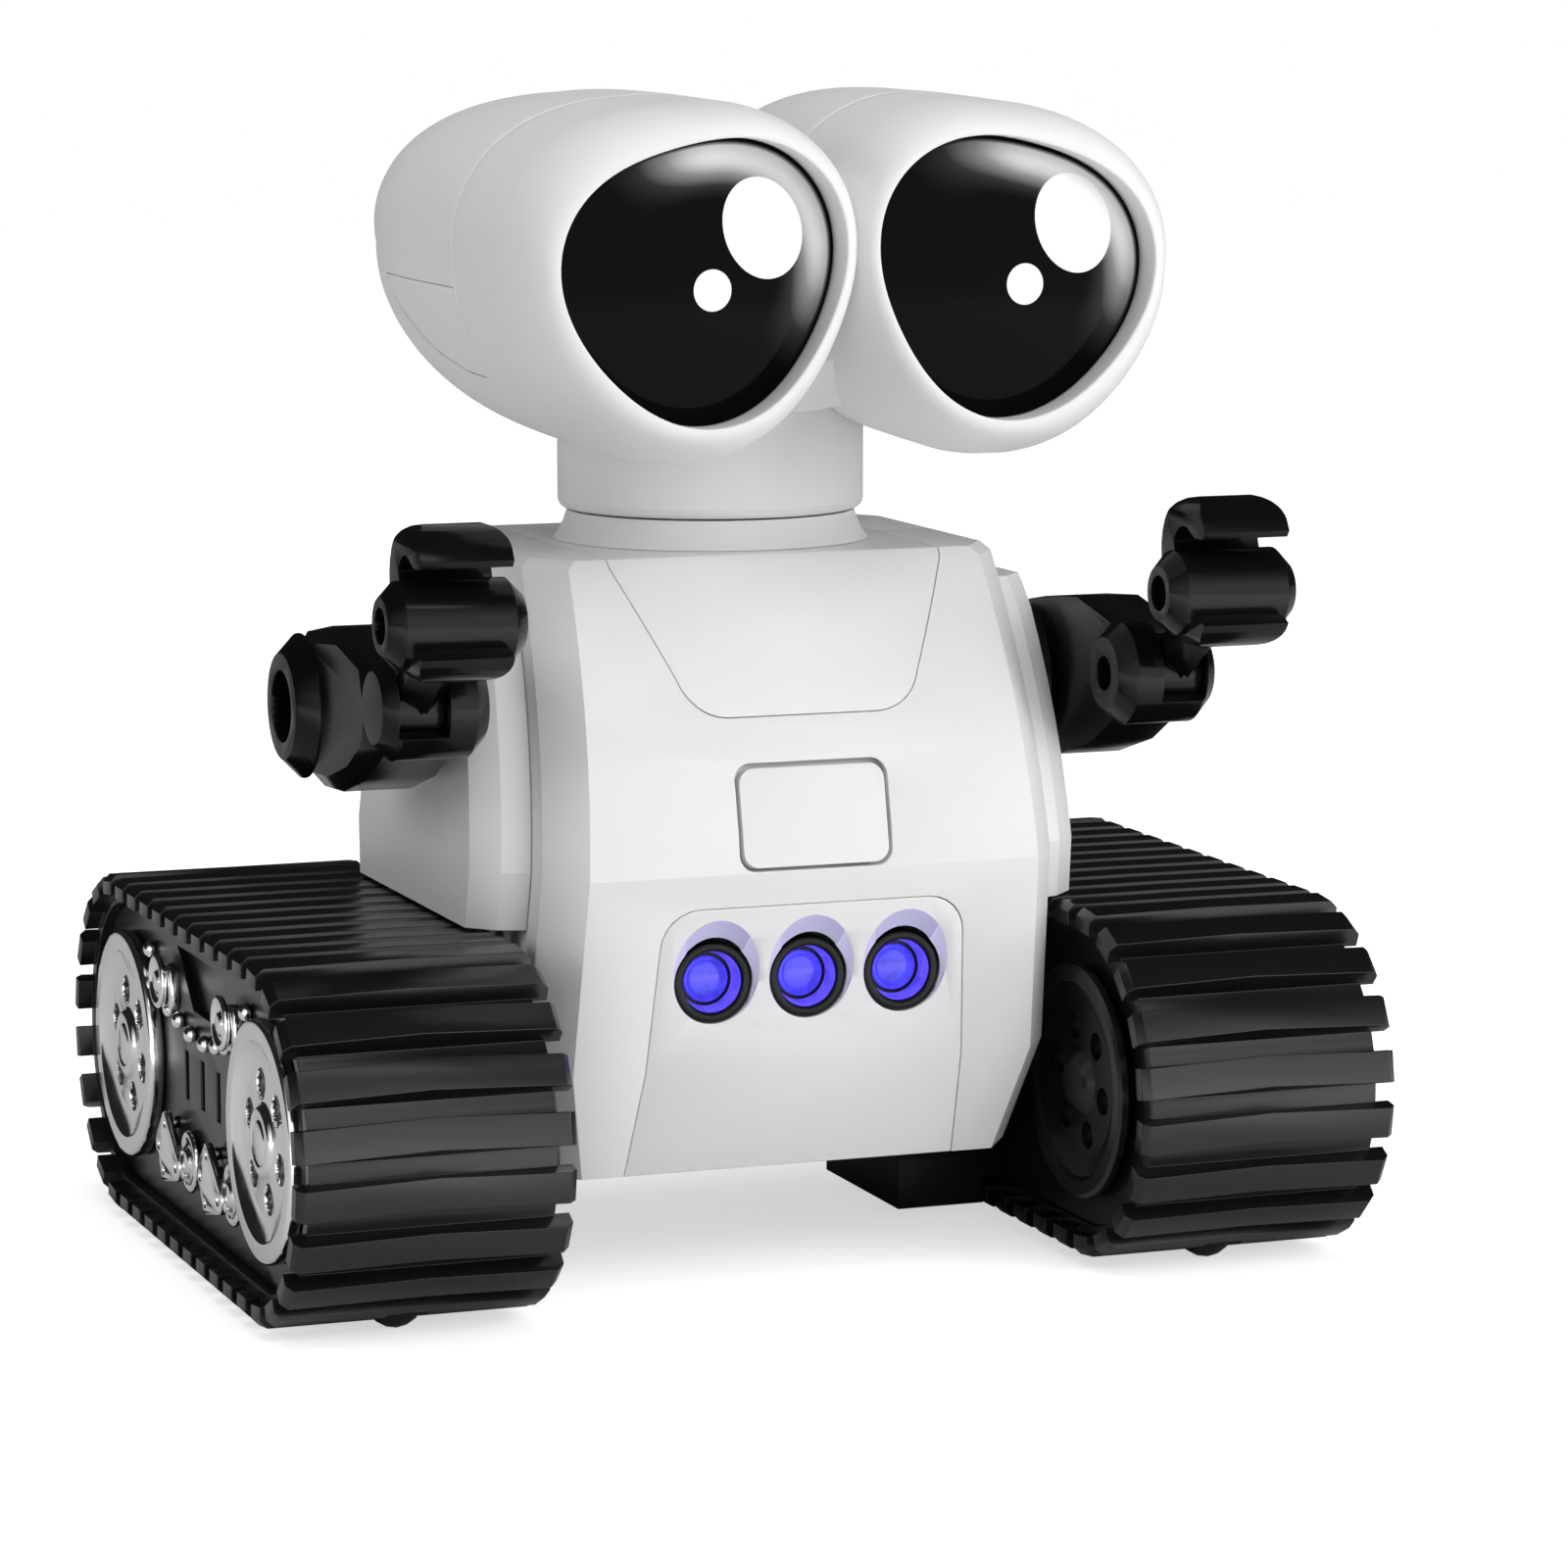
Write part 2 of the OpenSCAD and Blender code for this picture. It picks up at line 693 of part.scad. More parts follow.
// Point on the belt's run at distance d from the middle of the top, with its outward angle
function belt_run(d) =
    let (straight = wheel_base, bend = PI * belt_r, lap = 2 * (straight + bend),
         e = (d + lap) % lap, a = straight / 2, b = a + bend, c = b + straight, f = c + bend)
    e < a ? [-e, belt_r, 90]
    : e < b ? let (q = 90 + (e - a) / bend * 180)
        [-a + belt_r * cos(q), belt_r * sin(q), q]
    : e < c ? [-a + (e - b), -belt_r, 270]
    : e < f ? let (q = 270 + (e - c) / bend * 180)
        [a + belt_r * cos(q), belt_r * sin(q), q]
    : [a - (e - f), belt_r, 90];

module cleats() {
    lap = 2 * (wheel_base + PI * belt_r);
    half = cleat_len / 2;
    cut = 1.3;
    for (i = [0 : cleat_count - 1]) {
        p = belt_run((i + 0.5) * lap / cleat_count);
        translate([pod_x, p[0], pod_z + p[1]]) rotate([p[2] - 90, 0, 0])
            translate([0, cleat_w / 2, 0]) rotate([90, 0, 0]) linear_extrude(cleat_w) polygon([
                [-half, -0.8], [half, -0.8], [half, cleat_h - cut], [half - cut, cleat_h],
                [-half + cut, cleat_h], [-half, cleat_h - cut]]);
    }
}

module track_shell(s) color(black) side(s) {
    rib_x = 3.2 + 0.3;
    rib_t = 2;
    difference() {
        union() {
            slab_x(belt_x0, belt_x1) translate([0, pod_z]) difference() {
                stadium(belt_r, wheel_base);
                stadium(inner_r, wheel_base);
            }
            cleats();
            // Ribs that bear the front roller
            intersection() {
                for (x = [pod_x - rib_x - rib_t, pod_x + rib_x])
                    slab_x(x, x + rib_t) translate([-roller_y, roller_r + 1.6]) square([11, 12],
                        center = true);
                slab_x(belt_x0, belt_x1) translate([0, pod_z]) stadium(inner_r + 1, wheel_base);
            }
        }
        // Slots for the roller and for the drive wheel
        translate([pod_x - rib_x, -roller_y - 9, -1]) cube([2 * rib_x, 17.5, 20]);
        translate([pod_x - wheel_w / 2 - 1, wheel_y - 15, -1])
            cube([wheel_w + 2, 30, 12]);
        translate([0, -roller_y, roller_r]) rod_x(1.5 + running, pod_x - 7, pod_x + 7);
    }
}

module outer_plate(s) color(black) side(s) {
    difference() {
        slab_x(outer_face - plate_t, outer_face)
            translate([0, pod_z]) stadium(plate_r, wheel_base);
        // Recess at the top and three slots below it
        slab_x(outer_face - 1.6, outer_face + 1)
            polygon([[-16, 56], [16, 56], [5.5, 46.2], [-5.5, 46.2]]);
        for (y = [-10.8, 0, 10.8])
            slab_x(outer_face - 1.6, outer_face + 1)
                translate([y, 33.6]) square([2.4, 8.6], center = true);
    }
}

// Dished disc of radius r and thickness h with a rim, six holes and a hub cap
module dished_disc(r, h) {
    difference() {
        rotate_extrude($fn = 96) polygon([
            [0, 0], [r - 2.2, 0], [r, 0.5 * h], [r, 0.85 * h], [r - 0.7, h], [r - 3, h],
            [r - 3.8, 0.75 * h], [r - 7, 0.5 * h], [6.2, 0.5 * h], [5, 0.8 * h], [4, h], [0, h]]);
        for (a = [18 : 60 : 318])
            rotate([0, 0, a]) translate([9.8, 0, -1]) cylinder(h = h + 2, r = 2.5);
    }
}

module hub_discs(s) color(chrome) side(s) {
    for (y = [-1, 1])
        translate([0, y * wheel_base / 2, pod_z]) along_x(outer_face) dished_disc(disc_r, disc_t);
}

module inner_plate(s) color(black) side(s) {
    difference() {
        union() {
            slab_x(inner_face, inner_face + plate_t)
                translate([0, pod_z]) stadium(plate_r, wheel_base);
            // Moulded copies of the hub discs face the torso
            for (y = [-1, 1])
                translate([inner_face, y * wheel_base / 2, pod_z])
                    rotate([0, -90, 0]) dished_disc(disc_r, disc_t + 0.4);
        }
        translate([0, wheel_y, wheel_r]) rod_x(axle_r + 0.6, belt_x0 - 5, belt_x1);
    }
}

// One road-wheel link: a three-lobed plate with a small roller disc behind it
module road_link() {
    rod_x(1.2, outer_face, outer_face + 2.4);
    slab_x(outer_face + 1.2, outer_face + 2.4) {
        translate([0, 3.6]) circle(1.9);
        translate([1.2, -4.2]) circle(2.8);
        translate([-6.6, -1.9]) circle(2.9);
        polygon([[-1.9, 3.6], [1.9, 3.6], [4, -4.2], [1.2, -7], [-6.6, -4.8], [-9.4, -1.4]]);
    }
    translate([0, -11.4, -0.6]) {
        rod_x(1.4, outer_face, outer_face + 2);
        difference() {
            rod_x(5.6, outer_face + 0.6, outer_face + 1.1);
            rod_x(3.4, outer_face + 0.9, outer_face + 3);
        }
    }
}

module side_trim(s) color(chrome) side(s) {
    // Ball-headed rivets in a shallow chain
    for (p = [[33, 52.8], [30.8, 48.9], [13, 43.2], [4.6, 42.1], [-4.8, 42], [-13, 43.1],
              [19.4, 44.2], [-19.4, 44.2], [-33, 52.7]])
        translate([outer_face, p[0], p[1]]) intersection() {
            sphere(1.6, $fn = 24);
            translate([0, -2, -2]) cube(4);
        }
    // Two return rollers with a bearing block
    for (y = [-21.8, 21.8])
        translate([0, y, 48.9]) {
            rod_x(2, outer_face, outer_face + 3);
            rod_x(4.8, outer_face + 2, outer_face + 3);
            translate([outer_face, -6.6, -4.4]) cube([2, 7, 8.4]);
        }
    for (y = [-11.6, 17.6])
        translate([0, y, 19.4]) road_link();
}

// ---------------------------------------------------------------- head

// Outline of an eye lens around the lobe's centre, as a radius
function lens_radius(a) =
    24 - 0.5 * cos(a) + 0.3 * sin(a) + 0.52 * cos(2 * a) - 0.66 * sin(2 * a)
    + 0.68 * cos(3 * a) + 1.17 * sin(3 * a);

// Width of the shell's rim around the lens
function rim_width(a) =
    (cos(a) > 0 ? 6 : 5.4) * pow(cos(a), 2) + (sin(a) > 0 ? 6.3 : 7.2) * pow(sin(a), 2)
    + (cos(a) > 0 ? 1.6 * abs(sin(2 * a)) : 0);

neck_top = 163;
rim_y = -55;            // where the rounding towards the lens begins
lobe_sides = 40;

// Ring of a lobe at depth y, set in by t
function lobe_ring(y, t) =
    let (back = max(0, (y - rim_y) / (head_back - t - rim_y)),
         front = min(1, max(0, (rim_y - y) / (head_front + rim_y))),
         shrink = pow(max(0.0001, 1 - pow(back, 3.9)), 1 / 2.2),
         roll = sqrt(max(0, 1 - front * front)),
         drift = 0.03 * max(0, y - rim_y))
    [for (i = [0 : lobe_sides - 1])
        let (a = 360 * i / lobe_sides,
             r = (lens_radius(a) + 0.6 + (rim_width(a) - 0.6) * roll) * shrink - t)
        [lobe_x + drift + r * cos(a), y, lobe_z + drift + r * sin(a)]];

function tail_y(q, t) = rim_y + (head_back - t - rim_y) * cos(q);
function rim_front_y(q) = rim_y - (head_front + rim_y) * sin(q);

module lobe(t) {
    loft(concat(
        [for (q = [4, 9, 15, 23, 32, 43, 56, 72]) lobe_ring(tail_y(q, t), t)],
        t > 0
            ? [lobe_ring(rim_y, t), lobe_ring(rim_y - 9, t)]
            : [for (q = [0, 24, 42, 56, 68, 79, 90]) lobe_ring(rim_front_y(q), t)]));
}

// Body between the lobes, which also closes the neck's top
saddle_back = head_back - 3;
saddle_z = 174.5;
saddle_half = 30;
saddle_rise = 22;
saddle_y = -20;         // where the rounding towards the back begins

function saddle_ring(y, t) =
    let (back = max(0, (y - saddle_y) / (saddle_back - t - saddle_y)),
         shrink = sqrt(1 - pow(back, 4)),
         half = lookup(y, [[-52, 12], [-36, saddle_half - 2], [0, saddle_half]]))
    [for (i = [0 : 31])
        let (a = 360 * i / 32, n = 2.6,
             round = pow(pow(abs(cos(a)), n) + pow(abs(sin(a)), n), -1 / n))
        [(half * shrink - t) * round * cos(a), y,
         saddle_z + (saddle_rise * shrink - t) * round * sin(a)]];

module saddle(t) {
    loft(concat(
        [for (q = [86, 78, 68, 56, 42, 28, 14, 0])
            saddle_ring(saddle_y + (saddle_back - t - saddle_y) * sin(q), t)],
        [for (y = [-36, -52]) saddle_ring(y, t)]));
}

module head_form(t = 0) {
    for (s = [-1, 1]) side(s) lobe(t);
    saddle(t);
}

module head_shell() {
    difference() {
        head_form();
        head_form(wall);
        for (s = [-1, 1])
            side(s) slab_y(-big / 4, -60) lens_outline(gap);
        translate([0, 0, neck_z]) cylinder(h = neck_top - neck_z, r = neck_r + gap);
    }
}

module lens_outline(grow = 0) {
    polygon([for (i = [0 : 59])
        let (a = 6 * i, r = lens_radius(a) + grow) [lobe_x + r * cos(a), lobe_z + r * sin(a)]]);
}

// Side view of the covers low on the head's flanks
module cover_outline(grow = 0) {
    polygon([
        [-head_seam + 1.2 - grow, 175.4 + grow], [6.6 + grow, 175.8 + grow],
        [1 + grow, 170.4 - grow], [-12 + grow, 163.6 - grow], [-26 + grow, 160.6 - grow],
        [-head_seam + 1.2 - grow, 160 - grow]]);
}

module head_front_shell() color(white) {
    intersection() {
        head_shell();
        translate([-big / 2, -big - head_seam, 0]) cube([big, big, big]);
    }
}

module head_rear_shell() color(white) {
    difference() {
        intersection() {
            head_shell();
            translate([-big / 2, -head_seam + gap, 0]) cube([big, big, big]);
        }
        for (s = [-1, 1])
            side(s) slab_x(44, 100) cover_outline(gap);
    }
}

module head_side_covers() color(white) {
    intersection() {
        head_shell();
        for (s = [-1, 1]) side(s) slab_x(44 + gap, 100) cover_outline();
    }
}

module eye_lens(s) color(black) side(s) {
    intersection() {
        slab_y(-80, -60) lens_outline(0);
        difference() {
            translate([lobe_x, 17, lobe_z]) sphere(90, $fn = 96);
            translate([lobe_x, 19.4, lobe_z]) sphere(90, $fn = 96);
        }
    }
}

module eye_board() color(black) {
    for (s = [-1, 1])
        side(s) translate([lobe_x, -62.2, lobe_z]) rotate([90, 0, 0]) {
            cylinder(h = 1.6, r = 19);
            cylinder(h = 4.6, r = 4);
        }
}

module head_neck() color(white) {
    difference() {
        rotate_extrude($fn = 96) polygon([
            [pivot_r - 3, 117.6], [pivot_r + 1.6, 117.6], [pivot_r + 1.6, 119.4],
            [pivot_r, 120.6], [pivot_r, neck_z], [collar_r, neck_z], [26.7, 133.5],
            [27.2, 134], [neck_r, 134.9], [neck_r, neck_top - gap], [neck_r - wall, neck_top - gap],
            [neck_r - wall, 137],
            [pivot_r - 3, 137]]);
        // Slots that let the hooked end spring inwards
        for (a = [0, 90])
            rotate([0, 0, a]) translate([0, 0, 121]) cube([40, 1.6, 8], center = true);
    }
}

// ---------------------------------------------------------------- arms

drum_x0 = 57.9;
drum_x1 = 81.6;
web_x1 = 76.6;          // outer face of the upper arm's web
mouth_r = 3.1;          // mouths of the pin holes
mouth_deep = 3;
elbow_pin_end = 75.3;   // the elbow's hole is blind
wrist_pin_end = drum_x1 - mouth_deep;
tongue_half = 4;
socket_half = tongue_half + 0.35;

// Puts the children's origin on a joint axis given as [forward, height]
module at_axis(p) {
    translate([0, -p[0], p[1]]) children();
}

// Room around the tongue of a link inside a drum, open towards the link
module link_socket(r, from, to) {
    rod_x(r, arm_x - socket_half, arm_x + socket_half);
    slab_x(arm_x - socket_half, arm_x + socket_half)
        polygon(concat([[0, 0]], arc([0, 0], 24, from, to)));
}

// Hole for a hinge pin, with its mouths
module pin_hole(x1) {
    rod_x(pin_r, drum_x0 - 1, x1);
    rod_x(mouth_r, drum_x0 - 1, drum_x0 + mouth_deep);
}

web_outline = [[6, 112.9], [-10, 115.6], [-24, 116.8], [-41, 113.4], [-44.5, 104],
    [-42, 97.4], [-31, 91.4], [-16, 87.2], [-4, 86.6], [8, 90]];
web_middle = [-18, 101.5];

// The web's outline in the plane at x, drawn in towards its middle by the share inset
function web_ring(x, inset) = [for (p = web_outline) concat([x], p + inset * (web_middle - p))];

module upper_arm(s) color(black) side(s) {
    web_x0 = 61.5;
    chamfer = 3;
    difference() {
        union() {
            at_axis([0, shoulder_z]) {
                drum(shoulder_r, 58.2, 63.2, 0.8, 1);
                rod_x(11.6, 60, shoulder_end - 6);
                drum(shoulder_r, 76, shoulder_end, 0.4, 3.4);
                rod_x(5, 48, 60);
            }
            loft([web_ring(web_x0, 0), web_ring(web_x1 - chamfer, 0), web_ring(web_x1, 0.2)]);
            at_axis(elbow) drum(elbow_r, drum_x0, web_x1, 2.8, chamfer);
        }
        at_axis([0, shoulder_z]) rod_x(6.4, shoulder_end - 6, shoulder_end + 1);
        at_axis(elbow) {
            link_socket(6.9, 68, 210);
            pin_hole(elbow_pin_end);
        }
    }
    // Snap head that holds the arm in the side panel
    at_axis([0, shoulder_z]) rod_x(6, 46.4, 48.4);
}

module hinge_pin(p, x1, s) color(steel) side(s)
    at_axis(p) rod_x(pin_r, drum_x0 + mouth_deep, x1);

// Square link set on edge, with a round tongue at each end
module forearm(s) color(black) side(s) {
    run = norm(wrist - elbow);
    tilt = atan2(wrist[1] - elbow[1], wrist[0] - elbow[0]);
    bar = 8;
    neck = 6.2;             // thinner inside the sockets, so the joints can swing
    elbow_clear = 7.4;
    wrist_clear = 5.1;
    difference() {
        union() {
            at_axis(elbow) rod_x(6.5, arm_x - tongue_half, arm_x + tongue_half);
            at_axis(wrist) rod_x(5, arm_x - tongue_half, arm_x + tongue_half);
            intersection() {
                translate([arm_x, -elbow[0], elbow[1]]) rotate([90 - tilt, 0, 0])
                    rotate([0, 0, 45]) {
                        translate([-bar / 2, -bar / 2, elbow_clear])
                            cube([bar, bar, run - elbow_clear - wrist_clear]);
                        translate([-neck / 2, -neck / 2, 0]) cube([neck, neck, run]);
                    }
                translate([arm_x - tongue_half, -big / 2, 0])
                    cube([2 * tongue_half, big, big]);
            }
        }
        at_axis(elbow) rod_x(pin_r + running, arm_x - 6, arm_x + 6);
        at_axis(wrist) rod_x(pin_r + running, arm_x - 6, arm_x + 6);
    }
}

// Wrist drum with a hooked upper finger and a short lower finger
module hand(s) color(black) side(s) {
    half = 8;
    top = 16.7;
    bottom = -9.4;
    difference() {
        at_axis(wrist) {
            drum(wrist_r, drum_x0, drum_x1 + 0.3, 2.6, 2.6);
            intersection() {
                slab_x(arm_x - half, arm_x + half) {
                    polygon(concat(
                        arc([-1.5, 7.3], top - 7.3, -10, 156, 12),
                        [[-9.2, 10], [-6, 10]],
                        arc([-1.5, 7.3], 4.4, 130, 20, 8),
                        [[1, 4], [1, 0], [7, 0]]));
                    polygon(concat(
                        [[3, -3]], arc([-2, 0.3], 0.3 - bottom, -48, -148, 10),
                        [[-8.6, -4], [-4, -3]]));
                }
                // Rounds the fingers' corners, seen from the front
                translate([arm_x, 0, (top + bottom) / 2])
                    slab_y(-20, 20) rounded(2 * half, top - bottom, 3.6);
            }
        }
        at_axis(wrist) {
            link_socket(5.9, -106, 34);
            pin_hole(drum_x1 + 1);
            rod_x(mouth_r, wrist_pin_end, drum_x1 + 1);
        }
    }
}

// ---------------------------------------------------------------- assembly

chassis_base();
torso_front_shell();
torso_rear_shell();
side_panel(1);  // left_side_panel
side_panel(-1);  // right_side_panel
chest_plate();
lamp_panel();
chest_button();
lamp_bezels();
lamp_lenses();
lamp_board();
neck_collar();
battery_door();
battery_pack();
control_board();
speaker();
power_switch();
charge_port();
body_screws();
gear_cases();
drive_motors();
head_neck();
head_front_shell();
head_rear_shell();
head_side_covers();
eye_lens(1);  // left_eye_lens
eye_lens(-1);  // right_eye_lens
eye_board();
upper_arm(1);  // left_upper_arm
hinge_pin(elbow, elbow_pin_end, 1);  // left_elbow_pin
forearm(1);  // left_forearm
hinge_pin(wrist, wrist_pin_end, 1);  // left_wrist_pin
hand(1);  // left_hand
upper_arm(-1);  // right_upper_arm
hinge_pin(elbow, elbow_pin_end, -1);  // right_elbow_pin
forearm(-1);  // right_forearm
hinge_pin(wrist, wrist_pin_end, -1);  // right_wrist_pin
hand(-1);  // right_hand
track_shell(1);  // left_track_shell
outer_plate(1);  // left_outer_plate
inner_plate(1);  // left_inner_plate
hub_discs(1);  // left_hub_discs
side_trim(1);  // left_side_trim
axle(1);  // left_axle
drive_gear(1);  // left_drive_gear
drive_wheel(1);  // left_drive_wheel
tyre(1);  // left_tyre
motor_pinion(1);  // left_motor_pinion
front_roller(1);  // left_front_roller
track_shell(-1);  // right_track_shell
outer_plate(-1);  // right_outer_plate
inner_plate(-1);  // right_inner_plate
hub_discs(-1);  // right_hub_discs
side_trim(-1);  // right_side_trim
axle(-1);  // right_axle
drive_gear(-1);  // right_drive_gear
drive_wheel(-1);  // right_drive_wheel
tyre(-1);  // right_tyre
motor_pinion(-1);  // right_motor_pinion
front_roller(-1);  // right_front_roller
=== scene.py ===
import json
import math

import bmesh
import bpy
from mathutils import Matrix, Vector


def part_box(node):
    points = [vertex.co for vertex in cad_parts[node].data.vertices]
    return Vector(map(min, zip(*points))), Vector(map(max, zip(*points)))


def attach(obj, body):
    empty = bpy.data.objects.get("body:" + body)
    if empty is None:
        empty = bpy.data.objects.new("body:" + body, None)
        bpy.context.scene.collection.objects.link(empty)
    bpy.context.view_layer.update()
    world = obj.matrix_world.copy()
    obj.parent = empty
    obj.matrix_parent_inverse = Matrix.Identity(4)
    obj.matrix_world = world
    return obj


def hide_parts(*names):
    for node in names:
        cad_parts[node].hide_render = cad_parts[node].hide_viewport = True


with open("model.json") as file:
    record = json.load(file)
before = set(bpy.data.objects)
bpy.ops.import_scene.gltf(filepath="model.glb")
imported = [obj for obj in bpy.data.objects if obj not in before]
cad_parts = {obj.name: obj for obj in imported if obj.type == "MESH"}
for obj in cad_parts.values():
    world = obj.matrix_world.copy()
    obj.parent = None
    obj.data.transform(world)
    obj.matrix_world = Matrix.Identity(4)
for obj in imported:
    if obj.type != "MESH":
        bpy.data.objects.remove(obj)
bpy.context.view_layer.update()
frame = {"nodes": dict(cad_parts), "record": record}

# Toy robot car on two crawler-style pods. Lengths below are in millimetres, as in the CAD,
# and each mesh is scaled to metres once, when it is made.

MM = 0.001
SIDES = (("left_", 1), ("right_", -1))
RECORD = frame["record"]
BODY_OF = {n: b for b, ns in RECORD["behaviour"]["bodies"].items() for n in ns}
SLOT_OF = {s["node"]: s["material_slot"] for s in RECORD["subparts"]}


def box_mm(node):
    """Lowest and highest corner of a CAD node, in millimetres."""
    low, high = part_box(node)
    return low / MM, high / MM


# ------------------------------------------------------------------ materials


def shader(name, color, roughness, metallic=0.0, coat=0.0, ior=1.5):
    """New material; returns it with its node tree and its Principled shader."""
    mat = bpy.data.materials.new(name)
    mat.use_nodes = True
    tree = mat.node_tree
    bsdf = tree.nodes["Principled BSDF"]
    bsdf.inputs["Base Color"].default_value = (*color, 1)
    bsdf.inputs["Roughness"].default_value = roughness
    bsdf.inputs["Metallic"].default_value = metallic
    bsdf.inputs["Coat Weight"].default_value = coat
    bsdf.inputs["Coat Roughness"].default_value = 0.08
    bsdf.inputs["IOR"].default_value = ior
    return mat, tree, bsdf


def link(tree, a, b):
    tree.links.new(a, b)


def noise(tree, scale, detail=3.0, roughness=0.55):
    """Noise over the object's own coordinates."""
    coords = tree.nodes.new("ShaderNodeTexCoord")
    node = tree.nodes.new("ShaderNodeTexNoise")
    node.inputs["Scale"].default_value = scale
    node.inputs["Detail"].default_value = detail
    node.inputs["Roughness"].default_value = roughness
    link(tree, coords.outputs["Object"], node.inputs["Vector"])
    return node.outputs["Fac"]


def ramp(tree, factor, stops):
    """Colour ramp over factor; stops are (position, grey or colour)."""
    node = tree.nodes.new("ShaderNodeValToRGB")
    points = node.color_ramp.elements
    while len(points) < len(stops):
        points.new(0.5)
    for point, (place, value) in zip(points, stops):
        point.position = place
        point.color = (*((value,) * 3 if isinstance(value, float) else value), 1)
    link(tree, factor, node.inputs["Fac"])
    return node.outputs["Color"]


def add_bump(tree, bsdf, height, strength, distance):
    bump = tree.nodes.new("ShaderNodeBump")
    bump.inputs["Strength"].default_value = strength
    bump.inputs["Distance"].default_value = distance
    link(tree, height, bump.inputs["Height"])
    link(tree, bump.outputs["Normal"], bsdf.inputs["Normal"])


def moulded(name, color, roughness, spread=0.03, tint=0.04, grain=2600, bump=0.06, ior=1.5):
    """Moulded plastic: a little mottling, uneven gloss and the fine grain of the mould."""
    mat, tree, bsdf = shader(name, color, roughness, ior=ior)
    cloud = noise(tree, 38)
    low = tuple(c * (1 - tint) for c in color)
    high = tuple(min(1.0, c * (1 + tint)) for c in color)
    link(tree, ramp(tree, cloud, ((0.35, low), (0.65, high))), bsdf.inputs["Base Color"])
    patch = noise(tree, 110, 4)
    gloss = ((0.3, max(0.02, roughness - spread)), (0.7, roughness + spread))
    link(tree, ramp(tree, patch, gloss), bsdf.inputs["Roughness"])
    add_bump(tree, bsdf, noise(tree, grain, 2), bump, 0.00004)
    return mat


def make_chrome():
    """Vacuum-metallised plastic: bright, with faint unevenness."""
    mat, tree, bsdf = shader("chrome", (0.93, 0.93, 0.95), 0.1, metallic=1.0)
    link(tree, ramp(tree, noise(tree, 60), ((0.3, (0.9, 0.9, 0.92)), (0.7, (0.95, 0.95, 0.96)))),
         bsdf.inputs["Base Color"])
    link(tree, ramp(tree, noise(tree, 240, 4), ((0.3, 0.07), (0.7, 0.16))),
         bsdf.inputs["Roughness"])
    add_bump(tree, bsdf, noise(tree, 420, 2), 0.04, 0.00005)
    return mat


def make_steel():
    """Drawn steel with fine streaks along the part's Y direction."""
    mat, tree, bsdf = shader("steel", (0.6, 0.6, 0.62), 0.32, metallic=1.0)
    coords = tree.nodes.new("ShaderNodeTexCoord")
    stretch = tree.nodes.new("ShaderNodeMapping")
    stretch.inputs["Scale"].default_value = (900, 60, 900)
    grain = tree.nodes.new("ShaderNodeTexNoise")
    link(tree, coords.outputs["Object"], stretch.inputs["Vector"])
    link(tree, stretch.outputs["Vector"], grain.inputs["Vector"])
    grain.inputs["Scale"].default_value = 1.0
    link(tree, ramp(tree, grain.outputs["Fac"], ((0.3, 0.24), (0.7, 0.42))),
         bsdf.inputs["Roughness"])
    add_bump(tree, bsdf, grain.outputs["Fac"], 0.15, 0.00003)
    return mat


def make_rubber():
    mat, tree, bsdf = shader("tyre_rubber", (0.02, 0.02, 0.021), 0.7)
    link(tree, ramp(tree, noise(tree, 160, 5), ((0.3, 0.6), (0.7, 0.82))),
         bsdf.inputs["Roughness"])
    link(tree, ramp(tree, noise(tree, 90), ((0.3, (0.016,) * 3), (0.7, (0.03,) * 3))),
         bsdf.inputs["Base Color"])
    add_bump(tree, bsdf, noise(tree, 1800, 4), 0.4, 0.00008)
    return mat


def make_circuit():
    """Solder mask with lighter tracks."""
    mat, tree, bsdf = shader("circuit_board", (0.02, 0.14, 0.06), 0.35, coat=0.3)
    cells = tree.nodes.new("ShaderNodeTexVoronoi")
    coords = tree.nodes.new("ShaderNodeTexCoord")
    cells.feature = "DISTANCE_TO_EDGE"
    cells.inputs["Scale"].default_value = 260
    link(tree, coords.outputs["Object"], cells.inputs["Vector"])
    link(tree, ramp(tree, cells.outputs["Distance"],
                    ((0.03, (0.05, 0.3, 0.13)), (0.07, (0.015, 0.11, 0.05)))),
         bsdf.inputs["Base Color"])
    return mat


def glowing(name, color, strength, base):
    """Tinted clear plastic lit from behind; the reflector walls use it as painted lamp glow."""
    mat, tree, bsdf = shader(name, base, 0.12)
    cloud = noise(tree, 420, 2)
    dark = tuple(c * 0.55 for c in color)
    link(tree, ramp(tree, cloud, ((0.35, dark), (0.6, color))), bsdf.inputs["Emission Color"])
    bsdf.inputs["Emission Strength"].default_value = strength
    link(tree, ramp(tree, noise(tree, 900, 2), ((0.3, 0.1), (0.7, 0.2))),
         bsdf.inputs["Roughness"])
    return mat


